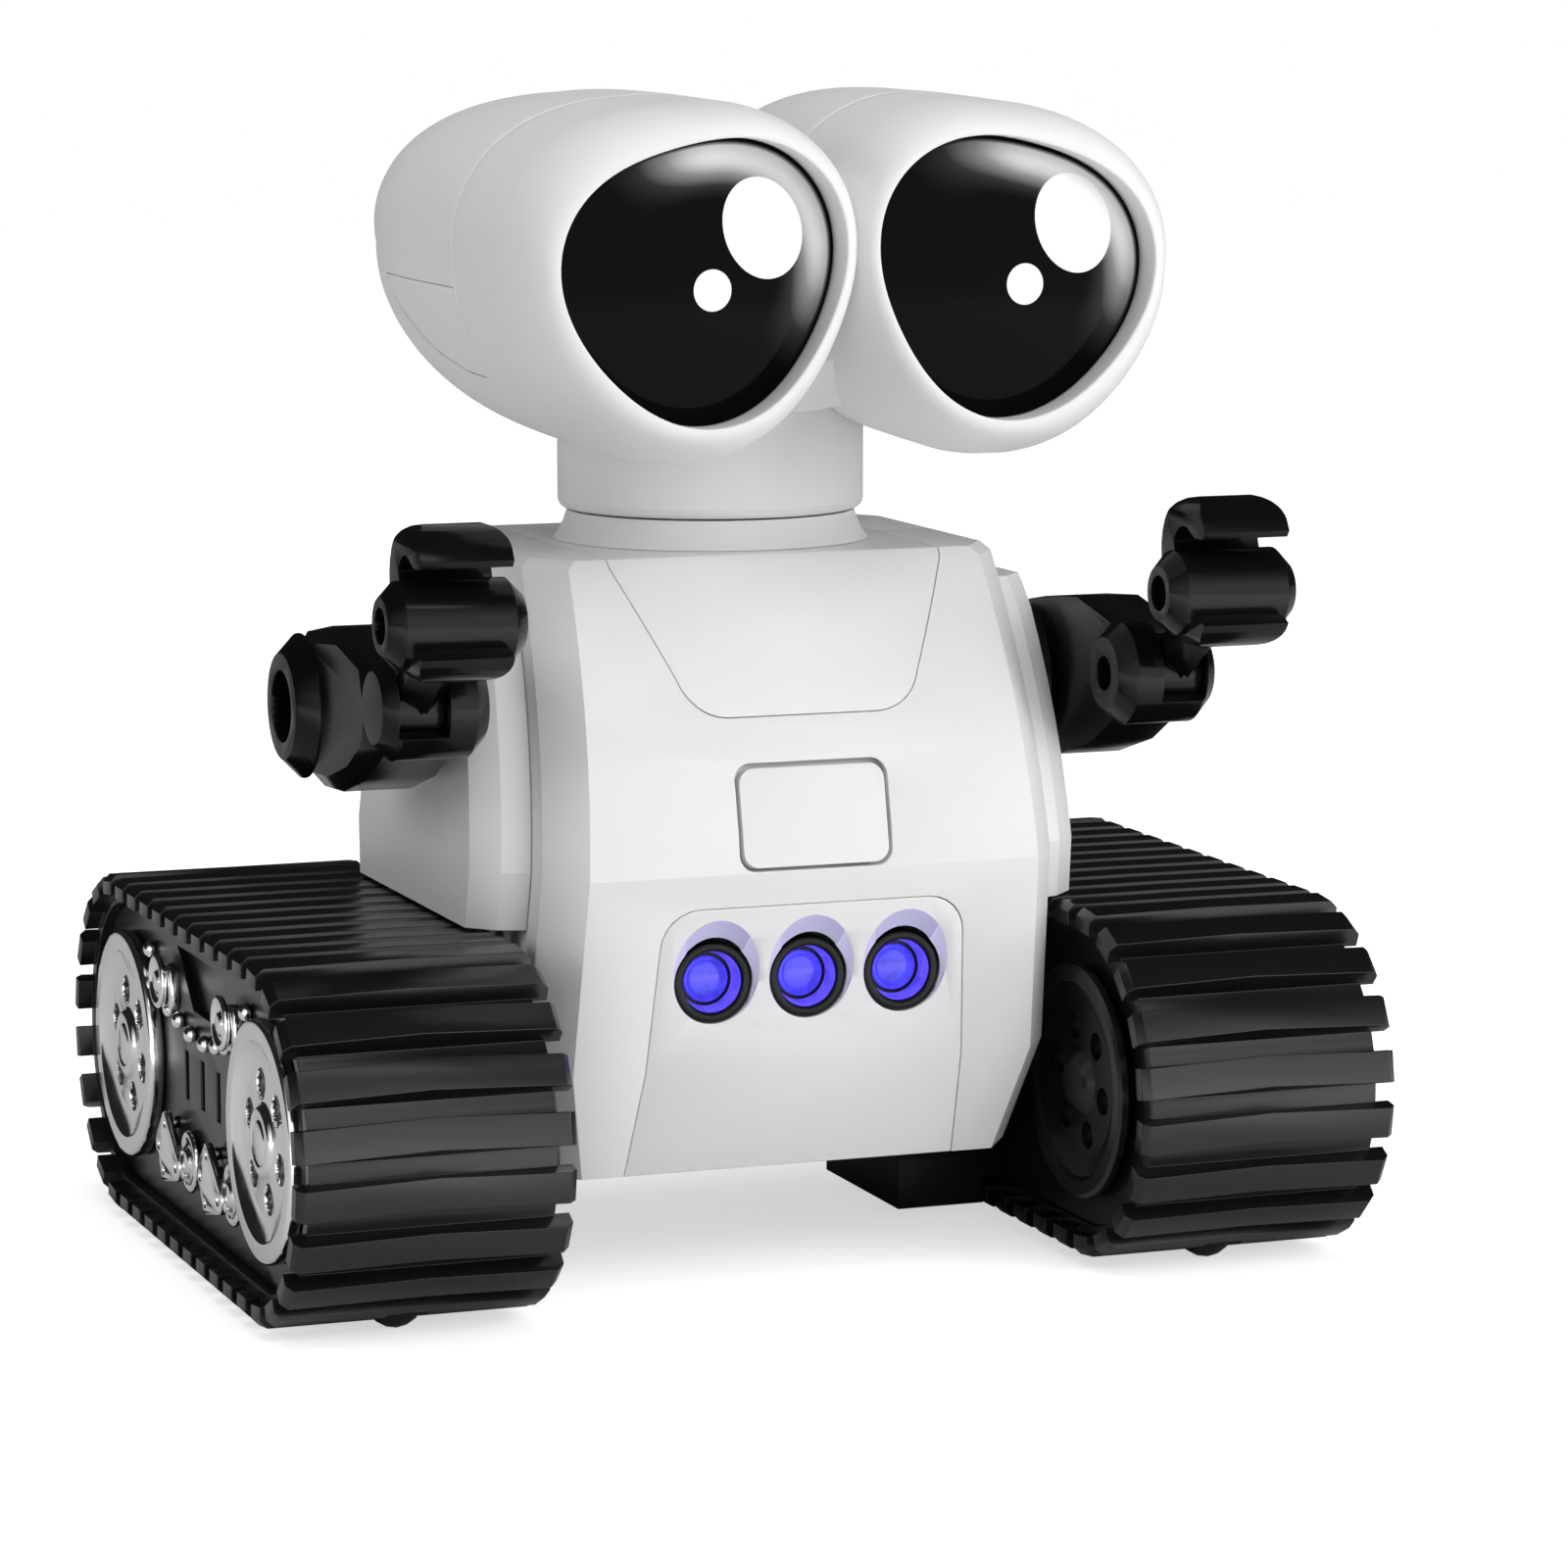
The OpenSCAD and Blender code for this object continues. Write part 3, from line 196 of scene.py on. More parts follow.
MATERIALS = {
    "shell_white": moulded("white_plastic", (0.76, 0.76, 0.77), 0.48, tint=0.008),
    "arm_black": moulded("arm_plastic", (0.004, 0.004, 0.0045), 0.17, 0.01, tint=0.1, bump=0.03, ior=1.3),
    "track_black": moulded("track_plastic", (0.006, 0.006, 0.007), 0.26, 0.01, tint=0.1, bump=0.02, ior=1.5),
    "frame_black": moulded("frame_plastic", (0.008, 0.008, 0.009), 0.5, tint=0.1, ior=1.25),
    "lens_black": moulded("lens_plastic", (0.002, 0.002, 0.002), 0.08, 0.02, bump=0.01, ior=1.12),
    "lamp_violet": glowing("lit_glass", (0.075, 0.06, 0.95), 0.8, (0.03, 0.03, 0.3)),
    "gear_nylon": moulded("nylon", (0.7, 0.69, 0.62), 0.4, tint=0.03),
    "pinion_brass": moulded("brass", (0.75, 0.55, 0.24), 0.3),
    "cell_blue": moulded("cell_sleeve", (0.04, 0.12, 0.4), 0.3, tint=0.08),
    "trim_chrome": make_chrome(),
    "steel": make_steel(),
    "tyre_rubber": make_rubber(),
    "circuit_green": make_circuit(),
}

# ------------------------------------------------------------------ mesh helpers


def new_object(name, bm, slot):
    """Turns a bmesh in millimetres into an object in metres, with its slot's material."""
    bmesh.ops.scale(bm, vec=(MM, MM, MM), verts=bm.verts)
    return object_in_metres(name, bm, slot)


def object_in_metres(name, bm, slot):
    mesh = bpy.data.meshes.new(name)
    bmesh.ops.recalc_face_normals(bm, faces=bm.faces)
    bm.to_mesh(mesh)
    bm.free()
    obj = bpy.data.objects.new(name, mesh)
    bpy.context.scene.collection.objects.link(obj)
    mesh.shade_smooth()
    if slot in MATERIALS:
        mesh.materials.append(MATERIALS[slot])
    return obj


def bake_modifiers(obj):
    """Applies an object's modifiers to its mesh."""
    graph = bpy.context.evaluated_depsgraph_get()
    mesh = bpy.data.meshes.new_from_object(obj.evaluated_get(graph))
    old = obj.data
    obj.modifiers.clear()
    obj.data = mesh
    bpy.data.meshes.remove(old)


def soften(obj, width, angle, segments=3):
    """Rounds the edges sharper than angle, by width in millimetres, and bakes it."""
    bevel = obj.modifiers.new("bevel", "BEVEL")
    bevel.width = width * MM
    bevel.segments = segments
    bevel.limit_method = "ANGLE"
    bevel.angle_limit = math.radians(angle)
    bevel.use_clamp_overlap = True
    bevel.harden_normals = True
    bake_modifiers(obj)
    obj.data.set_sharp_from_angle(angle=math.radians(max(angle, 35)))


def boolean(obj, other, operation):
    """Exact boolean of two objects; other is removed."""
    mod = obj.modifiers.new("boolean", "BOOLEAN")
    mod.operation = operation
    mod.object = other
    mod.solver = "EXACT"
    bake_modifiers(obj)
    bpy.data.objects.remove(other)


def loft(bm, rings, cap_start=True, cap_end=True):
    """Skin over rings of equal length; returns the rings' vertices."""
    made = [[bm.verts.new(p) for p in ring] for ring in rings]
    count = len(rings[0])
    for low, high in zip(made, made[1:]):
        for i in range(count):
            j = (i + 1) % count
            bm.faces.new((low[i], low[j], high[j], high[i]))
    if cap_start:
        bm.faces.new(made[0][::-1])
    if cap_end:
        bm.faces.new(made[-1])
    return made


def lathe(bm, profile, place, segments=96):
    """Turns a profile of (radius, height) about place's Z axis; the profile ends on the axis."""
    turns = [math.tau * i / segments for i in range(segments)]
    rings = [[place @ Vector((r * math.cos(a), r * math.sin(a), h)) for a in turns]
             for r, h in profile]
    loft(bm, rings)


def along_x(center, sign=1):
    """Matrix that stands a lathe's axis along X, pointing outwards on that side."""
    return Matrix.Translation(center) @ Matrix.Rotation(sign * math.pi / 2, 4, "Y")


def stand_in(piece, *nodes):
    """The piece rides on its nodes' body and is shown instead of them."""
    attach(piece, BODY_OF[nodes[0]])
    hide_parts(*nodes)
    return piece


def clean_copy(node):
    """A node's mesh in metres, with its flat faces whole again."""
    bm = bmesh.new()
    bm.from_mesh(frame["nodes"][node].data)
    bmesh.ops.remove_doubles(bm, verts=bm.verts, dist=0.002 * MM)
    bmesh.ops.dissolve_limit(bm, angle_limit=math.radians(0.6), verts=bm.verts, edges=bm.edges)
    return bm


def finished_copy(node, width, angle=30, segments=3):
    """A node's shape with its edges rounded, shown instead of it."""
    piece = object_in_metres(node + "_finished", clean_copy(node), SLOT_OF[node])
    soften(piece, width, angle, segments)
    return stand_in(piece, node)


# ------------------------------------------------------------------ head

LENS_LOW, LENS_HIGH = box_mm("left_eye_lens")
HEAD_LOW, _ = box_mm("head_front_shell")
_, HEAD_HIGH = box_mm("head_rear_shell")
LOBE_X = 28.0
LOBE_Z = 178.0
HEAD_FRONT = -HEAD_LOW.y
HEAD_BACK = HEAD_HIGH.y
SEAM_Y = -37.0
RIM_Y = -55.0           # where the rounding towards the lens begins
POCKET_Y = -66.0        # floor of the recess that holds a lens
SEAM_GAP = 0.15
SEAM_EDGE = 0.45        # rounding of the shells' edges at the seam
LOBE_SIDES = 128


def lens_radius(a):
    """Radius of an eye lens's outline at angle a, from outwards towards the top."""
    return (24 - 0.5 * math.cos(a) + 0.3 * math.sin(a) + 0.52 * math.cos(2 * a)
            - 0.66 * math.sin(2 * a) + 0.68 * math.cos(3 * a) + 1.17 * math.sin(3 * a))


def rim_width(a):
    """Width of the shell around the lens outline at angle a."""
    c, s = math.cos(a), math.sin(a)
    corner = 1.6 * abs(math.sin(2 * a)) if c > 0 else 0.0
    return (6.0 if c > 0 else 5.4) * c * c + (6.3 if s > 0 else 7.2) * s * s + corner


def lobe_ring(side, y, inset=0.0, radius=None):
    """Section of a lobe at depth y; radius(a) replaces the shell's own radius."""
    back = max(0.0, (y - RIM_Y) / (HEAD_BACK - RIM_Y))
    front = min(1.0, max(0.0, (RIM_Y - y) / (HEAD_FRONT + RIM_Y)))
    shrink = max(0.0001, 1 - back ** 3.9) ** (1 / 2.2)
    roll = math.sqrt(max(0.0, 1 - front * front))
    drift = 0.03 * max(0.0, y - RIM_Y)
    points = []
    for i in range(LOBE_SIDES):
        a = math.tau * i / LOBE_SIDES
        r = (lens_radius(a) + 0.6 + (rim_width(a) - 0.6) * roll) * shrink - inset
        if radius:
            r = radius(a)
        points.append((side * (LOBE_X + drift + r * math.cos(a)), y,
                       LOBE_Z + drift + r * math.sin(a)))
    return points


def seam_rings(side, section, forward):
    """Rings of a rounded edge at the head's seam, from the seam outwards."""
    rings = []
    for k in range(5):
        q = math.pi / 2 * k / 4
        step = SEAM_GAP / 2 + SEAM_EDGE * (1 - math.cos(q))
        y = SEAM_Y - step if forward else SEAM_Y + step
        rings.append(section(side, y, SEAM_EDGE * (1 - math.sin(q))))
    return rings


def lobe_front(bm, side):
    rings = seam_rings(side, lobe_ring, True)
    rings += [lobe_ring(side, y) for y in (-41, -46, -51)]
    rings += [lobe_ring(side, RIM_Y - (HEAD_FRONT + RIM_Y) * math.sin(math.radians(q)))
              for q in (0, 10, 20, 30, 39, 48, 56, 64, 71, 77, 82, 86, 90)]
    for grow, step in ((0.38, 0.0), (0.22, 0.12), (0.16, 0.4), (0.15, 1.0)):
        rings.append(lobe_ring(side, -HEAD_FRONT + step, radius=lambda a: lens_radius(a) + grow))
    rings.append(lobe_ring(side, POCKET_Y, radius=lambda a: lens_radius(a) + 0.15))
    loft(bm, rings)


def lobe_rear(bm, side):
    tail = [RIM_Y + (HEAD_BACK - RIM_Y) * math.cos(math.radians(q))
            for q in range(78, 2, -3)] + [HEAD_BACK - 0.25, HEAD_BACK - 0.06]
    rings = seam_rings(side, lobe_ring, False)
    rings += [lobe_ring(side, y) for y in tail if y > SEAM_Y + 2]
    loft(bm, rings)


SADDLE_BACK = HEAD_BACK - 3
SADDLE_Z = 174.5
SADDLE_HALF = 30.0
SADDLE_RISE = 22.0
SADDLE_LIFT = 10.0      # rise of the underside towards the front
SADDLE_ROUND_Y = -20.0  # where the rounding towards the back begins
SADDLE_FRONT = -52.0


def saddle_ring(side, y, inset=0.0):
    """Section of the body between the lobes."""
    back = max(0.0, (y - SADDLE_ROUND_Y) / (SADDLE_BACK - SADDLE_ROUND_Y))
    shrink = math.sqrt(max(0.0, 1 - back ** 4))
    narrow = min(1.0, max(0.0, (y + 36) / (SADDLE_FRONT + 36)))
    half = SADDLE_HALF - 2 - (SADDLE_HALF - 14) * narrow if y < -36 else (
        SADDLE_HALF - 2 + 2 * min(1.0, (y + 36) / 36))
    points = []
    for i in range(96):
        a = math.tau * i / 96
        c, s = math.cos(a), math.sin(a)
        r = (abs(c) ** 2.6 + abs(s) ** 2.6) ** (-1 / 2.6)
        rise = SADDLE_RISE * shrink - (SADDLE_LIFT * narrow if s < 0 and y < -36 else 0)
        points.append((side * (half * shrink - inset) * r * c, y,
                       SADDLE_Z + (rise - inset) * r * s))
    return points


def saddle_front(bm):
    rings = seam_rings(1, saddle_ring, True)
    rings += [saddle_ring(1, y) for y in (-40, -44, -48)] + [saddle_ring(1, SADDLE_FRONT)]
    loft(bm, rings)


def saddle_rear(bm):
    rings = seam_rings(1, saddle_ring, False)
    rings += [saddle_ring(1, y) for y in (-34, -31, -27, -22)]
    rings += [saddle_ring(1, SADDLE_ROUND_Y + (SADDLE_BACK - SADDLE_ROUND_Y)
                          * math.sin(math.radians(q))) for q in range(4, 88, 5)]
    loft(bm, rings)


def temp_solid(build, *args):
    """Scratch solid for a boolean."""
    bm = bmesh.new()
    build(bm, *args)
    return new_object("scratch", bm, None)


def prism(bm, outline, axis, low, high):
    """Extrudes a closed outline of (a, b) along X or Y between low and high."""
    def point(p, d):
        return (d, p[0], p[1]) if axis == "X" else (p[0], d, p[1])
    rings = [[point(p, d) for p in outline] for d in (low, high)]
    loft(bm, rings)


def cover_outline(grow):
    """Side view of the cover low on the head's flank, as (y, z), with rounded corners."""
    front, top, low = SEAM_Y + 1.2, 175.4, 160.0
    return [(front - grow, top + grow), (6.6 + grow, top + 0.4 + grow), (4.6 + grow, 172.6),
            (1 + grow, 170.2 - grow), (-6 + grow, 166.2 - grow), (-14 + grow, 162.9 - grow),
            (-26, 160.4 - grow), (front - grow, low - grow)]


def build_head():
    pieces = {}
    for name, lobe, saddle in (("head_front_shell", lobe_front, saddle_front),
                               ("head_rear_shell", lobe_rear, saddle_rear)):
        bm = bmesh.new()
        lobe(bm, 1)
        piece = new_object(name + "_finished", bm, "shell_white")
        boolean(piece, temp_solid(lobe, -1), "UNION")
        boolean(piece, temp_solid(saddle), "UNION")
        pieces[name] = piece
    neck_low, neck_high = box_mm("head_neck")
    neck_r = neck_high.x

    def neck_hole(bm):
        lathe(bm, ((neck_r + 0.15, neck_low.z + 20), (neck_r + 0.15, neck_high.z + 0.1)),
              Matrix.Identity(4))
    for piece in pieces.values():
        boolean(piece, temp_solid(neck_hole), "DIFFERENCE")
    rear = pieces["head_rear_shell"]
    bm = bmesh.new()
    lobe_rear(bm, 1)
    lobe_rear(bm, -1)
    covers = new_object("head_side_covers_finished", bm, "shell_white")

    def both_sides(bm, grow):
        for _, s in SIDES:
            prism(bm, cover_outline(grow), "X", s * (46.0 + grow), s * 70.0)
    boolean(covers, temp_solid(both_sides, -0.1), "INTERSECT")
    boolean(rear, temp_solid(both_sides, 0.1), "DIFFERENCE")
    soften(covers, 0.25, 40, 2)
    for name, piece in pieces.items():
        piece.data.set_sharp_from_angle(angle=math.radians(42))
        stand_in(piece, name)
    stand_in(covers, "head_side_covers")


# ------------------------------------------------------------------ eye lenses

DOME_R = 90.0
LENS_T = 2.4


def dome_y(x, z):
    """Front of the domed lens at (x, z), with x measured on the +X side."""
    rise = DOME_R - math.sqrt(DOME_R ** 2 - (x - LOBE_X) ** 2 - (z - LOBE_Z) ** 2)
    return LENS_LOW.y + rise


def dome_patch(bm, side, center, radius, lift, rings=14, segments=96, back=None):
    """Part of the dome inside a closed outline; back closes it behind."""
    cx, cz = center
    turns = [math.tau * i / segments for i in range(segments)]

    def place(a, f, dy=0.0):
        x, z = cx + f * radius(a) * math.cos(a), cz + f * radius(a) * math.sin(a)
        return (side * x, dome_y(x, z) - lift + dy, z)
    sections = [[place(a, max(0.004, k / rings)) for a in turns] for k in range(rings)]
    sections += [[place(a, 1 - 0.006, 0.0) for a in turns], [place(a, 1, 0.12) for a in turns]]
    if back:
        sections.append([place(a, 1, back) for a in turns])
    loft(bm, sections)


def lens_material():
    """Polished black with a painted highlight: a softly fading crescent towards the upper edge, on the same
    side of both eyes.
    """
    mat, tree, bsdf = shader("eye_black", (0.002, 0.002, 0.002), 0.05, ior=1.12)
    shade = tree.nodes.new("ShaderNodeVertexColor")
    shade.layer_name = "painted_highlight"
    link(tree, ramp(tree, shade.outputs["Color"],
                    ((0.0, (0.0015,) * 3), (0.25, (0.03,) * 3), (0.6, (0.25,) * 3),
                     (1.0, (0.8,) * 3))), bsdf.inputs["Base Color"])
    link(tree, ramp(tree, noise(tree, 300, 3), ((0.3, 0.04), (0.7, 0.075))),
         bsdf.inputs["Roughness"])
    return mat


def smoothstep(low, high, value):
    t = min(1.0, max(0.0, (value - low) / (high - low)))
    return t * t * (3 - 2 * t)


def painted_highlight(x, z, side):
    """Brightness of the painted highlight crescent; x is in the world, so both eyes match."""
    dx, dz = x - side * LOBE_X, z - LOBE_Z
    a = math.atan2(dz, dx)
    local = math.atan2(dz, side * dx)
    reach = math.hypot(dx, dz) / lens_radius(local)
    band = smoothstep(0.56, 0.9, reach) * (1 - smoothstep(0.95, 0.985, reach))
    sweep = smoothstep(math.radians(-48), math.radians(20), a) * (
        1 - smoothstep(math.radians(80), math.radians(138), a))
    return band * sweep


def build_eyes():
    glossy = lens_material()
    white = moulded("printed_white", (0.92, 0.92, 0.92), 0.35, tint=0.01, bump=0.02)
    for name, side in SIDES:
        bm = bmesh.new()
        dome_patch(bm, side, (LOBE_X, LOBE_Z), lens_radius, 0.0, rings=60, segments=192,
                   back=LENS_T)
        lens = new_object(name + "eye_lens_finished", bm, None)
        lens.data.materials.append(glossy)
        # Painted highlight: each vertex stores how bright the crescent is there.
        layer = lens.data.color_attributes.new("painted_highlight", "FLOAT_COLOR", "POINT")
        for vert, value in zip(lens.data.vertices, layer.data):
            v = painted_highlight(vert.co.x / MM, vert.co.z / MM, side)
            value.color = (v, v, v, 1)
        stand_in(lens, name + "eye_lens")
        lens.data.set_sharp_from_angle(angle=math.radians(40))
        for part, dx, dz, rx, rz, tilt in (("large", 11.5, 8.3, 7.2, 8.6, 20),
                                           ("small", 2.2, -1.8, 3.35, 3.5, 0)):
            def oval(a, rx=rx, rz=rz, tilt=math.radians(tilt), side=side):
                b = a - side * tilt
                return 1 / math.hypot(math.cos(b) / rx, math.sin(b) / rz)
            bm = bmesh.new()
            dome_patch(bm, side, (LOBE_X + side * dx, LOBE_Z + dz), oval, 0.1, rings=8,
                       back=0.16)
            spot = new_object(name + "eye_" + part + "_spot", bm, None)
            spot.data.materials.append(white)
            spot.data.set_sharp_from_angle(angle=math.radians(40))
            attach(spot, "head")


# ------------------------------------------------------------------ torso and arms

SOFT_EDGES = (
    # nodes, rounding in mm, smallest edge angle that is rounded
    (("torso_front_shell", "torso_rear_shell", "chest_plate"), 0.45, 12),
    (("battery_door",), 0.3, 12),
    (("left_side_panel", "right_side_panel"), 0.5, 14),
    (("chassis_base", "gear_cases"), 0.4, 30),
    (("power_switch", "charge_port"), 0.25, 30),
)
ARM_EDGES = (("upper_arm", 0.6), ("forearm", 0.35), ("hand", 0.5))
POD_EDGES = (("outer_plate", 0.3),)


def build_edges():
    for nodes, width, angle in SOFT_EDGES:
        for node in nodes:
            finished_copy(node, width, angle)
    for prefix, _ in SIDES:
        for part, width in ARM_EDGES + POD_EDGES:
            finished_copy(prefix + part, width, 28)


BUTTON_FIT = 0.975      # leaves a clear gap around the chest button
COLLAR_DROP = 0.2       # widens the seam between the neck and its collar
COLLAR_BAND = 0.3       # height of the collar's top edge that is let down


def build_collar():
    """The neck's collar, its top edge let down a little."""
    _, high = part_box("neck_collar")
    bm = clean_copy("neck_collar")
    for vert in bm.verts:
        if vert.co.z > high.z - COLLAR_BAND * MM:
            vert.co.z -= COLLAR_DROP * MM
    collar = object_in_metres("neck_collar_finished", bm, "shell_white")
    collar.data.set_sharp_from_angle(angle=math.radians(35))
    stand_in(collar, "neck_collar")


def build_button():
    """The chest button, a little smaller than its opening."""
    low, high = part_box("chest_button")
    middle = (low + high) / 2
    bm = clean_copy("chest_button")
    for vert in bm.verts:
        vert.co.x = middle.x + BUTTON_FIT * (vert.co.x - middle.x)
        vert.co.z = middle.z + BUTTON_FIT * (vert.co.z - middle.z)
    button = object_in_metres("chest_button_finished", bm, "shell_white")
    soften(button, 0.8, 30)
    stand_in(button, "chest_button")


# ------------------------------------------------------------------ lamps

LAMP_LOW, LAMP_HIGH = box_mm("lamp_bezels")
LAMP_Z = (LAMP_LOW.z + LAMP_HIGH.z) / 2
LAMP_FACE = LAMP_LOW.y          # front of the black rings
BEZEL_R = (LAMP_HIGH.z - LAMP_LOW.z) / 2
LAMP_XS = [k * (LAMP_HIGH.x - BEZEL_R) for k in (-1, 0, 1)]

# Profiles of (radius, depth) about a lamp's axis; depth runs forwards from the rings' front
BEZEL = ((5.35, -5.9), (7.1, -5.9), (7.1, -0.55), (6.95, -0.2), (6.6, 0.0), (5.9, 0.0),
         (5.6, -0.12), (5.42, -0.4), (5.35, -0.75))
REFLECTOR = ((5.34, -0.8), (5.2, -1.4), (4.75, -3.8), (4.72, -4.3), (5.34, -4.3))
LENS_SEAT = ((4.71, -4.2), (4.66, -4.05), (4.2, -4.0), (4.12, -4.1), (4.1, -4.28), (4.71, -4.28))
BULB = ((4.09, -4.25), (4.05, -4.0), (3.9, -3.86), (3.6, -3.8), (3.55, -3.86), (3.3, -3.66),
        (2.8, -3.45), (2.1, -3.26), (1.3, -3.13), (0.6, -3.08), (0.05, -3.06))
RECESS = ((0.2, 7.5, 0.0), (4.7, 8.9, 4.4))     # scallop ahead of a ring: depth, radius, rise


def ring_lathe(bm, profile, place, segments=96):
    """Turns a closed profile about place's Z axis."""
    turns = [math.tau * i / segments for i in range(segments)]
    rings = [[place @ Vector((r * math.cos(a), r * math.sin(a), h)) for a in turns]
             for r, h in profile]
    loft(bm, rings + rings[:1], False, False)
    bmesh.ops.remove_doubles(bm, verts=bm.verts, dist=1e-5)


def facing_front(x):
    """Matrix that stands a lathe's axis along -Y at a lamp's place."""
    return Matrix.Translation((x, LAMP_FACE, LAMP_Z)) @ Matrix.Rotation(math.pi / 2, 4, "X")


def build_lamps():
    # The reflectors' violet glow is painted lamp light on their walls.
    wall = glowing("lit_wall", (0.125, 0.08, 1.0), 0.9, (0.06, 0.05, 0.4))
    for name, turn, profile, slot, mat, node in (
            ("lamp_rings", ring_lathe, BEZEL, "arm_black", None, "lamp_bezels"),
            ("lamp_reflectors", ring_lathe, REFLECTOR, "lamp_violet", wall, None),
            ("lamp_seats", ring_lathe, LENS_SEAT, "arm_black", None, None),
            ("lamp_bulbs", lathe, BULB, "lamp_violet", None, "lamp_lenses")):
        bm = bmesh.new()
        for x in LAMP_XS:
            turn(bm, profile, facing_front(x))
        piece = new_object(name, bm, slot)
        if mat:
            piece.data.materials[0] = mat
        piece.data.set_sharp_from_angle(angle=math.radians(50))
        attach(piece, "torso")
        if node:
            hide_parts(node)


def build_lamp_panel():
    """The lamp panel with a scallop ahead of each ring; the scallops' walls carry painted violet glow from
    the lamps.
    """
    panel = object_in_metres("lamp_panel_finished", clean_copy("lamp_panel"), "shell_white")
    # The second material paints the lamps' violet glow on the scallops' walls.
    panel.data.materials.append(moulded("painted_glow_white", (0.6, 0.58, 0.84), 0.5, tint=0.02))
    soften(panel, 0.45, 12)

    def scallops(bm):
        turns = [math.tau * i / 64 for i in range(64)]
        for x in LAMP_XS:
            loft(bm, [[(x + r * math.cos(a), LAMP_FACE - depth, LAMP_Z + rise + r * math.sin(a))
                       for a in turns] for depth, r, rise in RECESS])
    cutter = temp_solid(scallops)
    # The cutter's faces become the scallops' walls, with the painted glow.
    for face in cutter.data.polygons:
        face.material_index = 1
    boolean(panel, cutter, "DIFFERENCE")
    panel.data.set_sharp_from_angle(angle=math.radians(35))
    stand_in(panel, "lamp_panel")


# ------------------------------------------------------------------ crawler pods

OUTER_X = box_mm("left_outer_plate")[1].x
DISC_LOW, DISC_HIGH = box_mm("left_hub_discs")
DISC_R = (DISC_HIGH.z - DISC_LOW.z) / 2
DISC_Y = DISC_HIGH.y - DISC_R
BELT_X0, BELT_X1 = 51.5, 100.0
POD_Z = (DISC_LOW.z + DISC_HIGH.z) / 2

# (radius, height above the outer plate), from the back to the middle of the hub cap
DISC = ((0.3, 0.0), (20.1, 0.02), (20.6, 0.25), (20.9, 0.8), (20.9, 2.2), (20.75, 2.7),
        (20.35, 2.95), (19.9, 3.0), (18.0, 2.9), (17.6, 2.95), (17.3, 2.9), (17.1, 2.7),
        (16.7, 2.4), (13.8, 1.62), (13.3, 1.5), (12.8, 1.52), (7.0, 1.6), (6.6, 1.7),
        (6.35, 1.95), (6.1, 2.3), (5.9, 2.55), (5.5, 2.75), (4.6, 2.85), (4.2, 2.75),
        (4.0, 2.55), (3.8, 2.55), (3.6, 2.7), (3.2, 2.9), (0.3, 3.0))
HOLE_R, HOLE_AT = 2.8, 9.8
HOLE_ANGLES = range(18, 360, 60)


def disc_place(side, y):
    return along_x((side * OUTER_X, y, POD_Z), side)


def build_hub_discs(prefix, side):
    bm = bmesh.new()
    for y in (-DISC_Y, DISC_Y):
        lathe(bm, DISC, disc_place(side, y), 144)
    discs = new_object(prefix + "hub_discs_finished", bm, "trim_chrome")

    def holes(bm):
        for y in (-DISC_Y, DISC_Y):
            for turn in HOLE_ANGLES:
                a = math.radians(turn)
                at = (side * OUTER_X, y + HOLE_AT * math.cos(a), POD_Z + HOLE_AT * math.sin(a))
                lathe(bm, ((HOLE_R, -1.0), (HOLE_R, 4.0)), along_x(at, side), 40)
    boolean(discs, temp_solid(holes), "DIFFERENCE")
    soften(discs, 0.22, 55, 3)
    stand_in(discs, prefix + "hub_discs")


CHEVRON = 0.8           # how far the middle of a cleat leads its ends
BELT_R = 28.6           # outside of the belt between the cleats


def lead(y, z, step):
    """Moves a point of the crawler along its run, up at the front and back over the top."""
    end = max(-DISC_Y, min(DISC_Y, y))
    if end == y:
        return y + (step if z > POD_Z else -step), z
    turn = -step / math.hypot(y - end, z - POD_Z)
    c, s = math.cos(turn), math.sin(turn)
    dy, dz = y - end, z - POD_Z
    return end + c * dy - s * dz, POD_Z + s * dy + c * dz


def build_track(prefix, side):
    """The crawler shell with its cleats drawn out to a slight chevron."""
    name = prefix + "track_shell"
    low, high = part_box(name)
    bm = clean_copy(name)
    middle = side * (BELT_X0 + BELT_X1) / 2 * MM
    cut = bmesh.ops.bisect_plane(bm, geom=bm.verts[:] + bm.edges[:] + bm.faces[:],
                                 plane_co=(middle, 0, 0), plane_no=(1, 0, 0))
    for vert in cut["geom_cut"]:
        if isinstance(vert, bmesh.types.BMVert):
            y, z = vert.co.y / MM, vert.co.z / MM
            end = max(-DISC_Y, min(DISC_Y, y))
            if math.hypot(y - end, z - POD_Z) > BELT_R:
                y, z = lead(y, z, CHEVRON)
                vert.co.y = min(high.y, max(low.y, y * MM))
                vert.co.z = min(high.z, max(low.z, z * MM))
    track = object_in_metres(name + "_finished", bm, SLOT_OF[name])
    soften(track, 0.45, 28)
    stand_in(track, name)


RIVETS = ((33, 52.8), (30.8, 48.9), (13, 43.2), (4.6, 42.1), (-4.8, 42), (-13, 43.1),
          (19.4, 44.2), (-19.4, 44.2), (-33, 52.7))
RIVET = ((1.0, 0.0), (1.25, 0.12), (1.5, 0.4), (1.6, 0.75), (1.55, 1.1), (1.38, 1.45),
         (1.12, 1.75), (0.78, 1.98), (0.4, 2.1), (0.05, 2.14))
RETURN_ROLLER = ((1.9, 0.0), (1.9, 1.75), (4.2, 1.8), (4.75, 1.95), (4.9, 2.3), (4.8, 2.7),
                 (4.5, 2.95), (4.0, 2.98), (3.7, 2.8), (3.4, 2.45), (2.2, 2.35), (1.95, 2.5),
                 (1.8, 2.85), (1.4, 3.0), (0.05, 3.0))
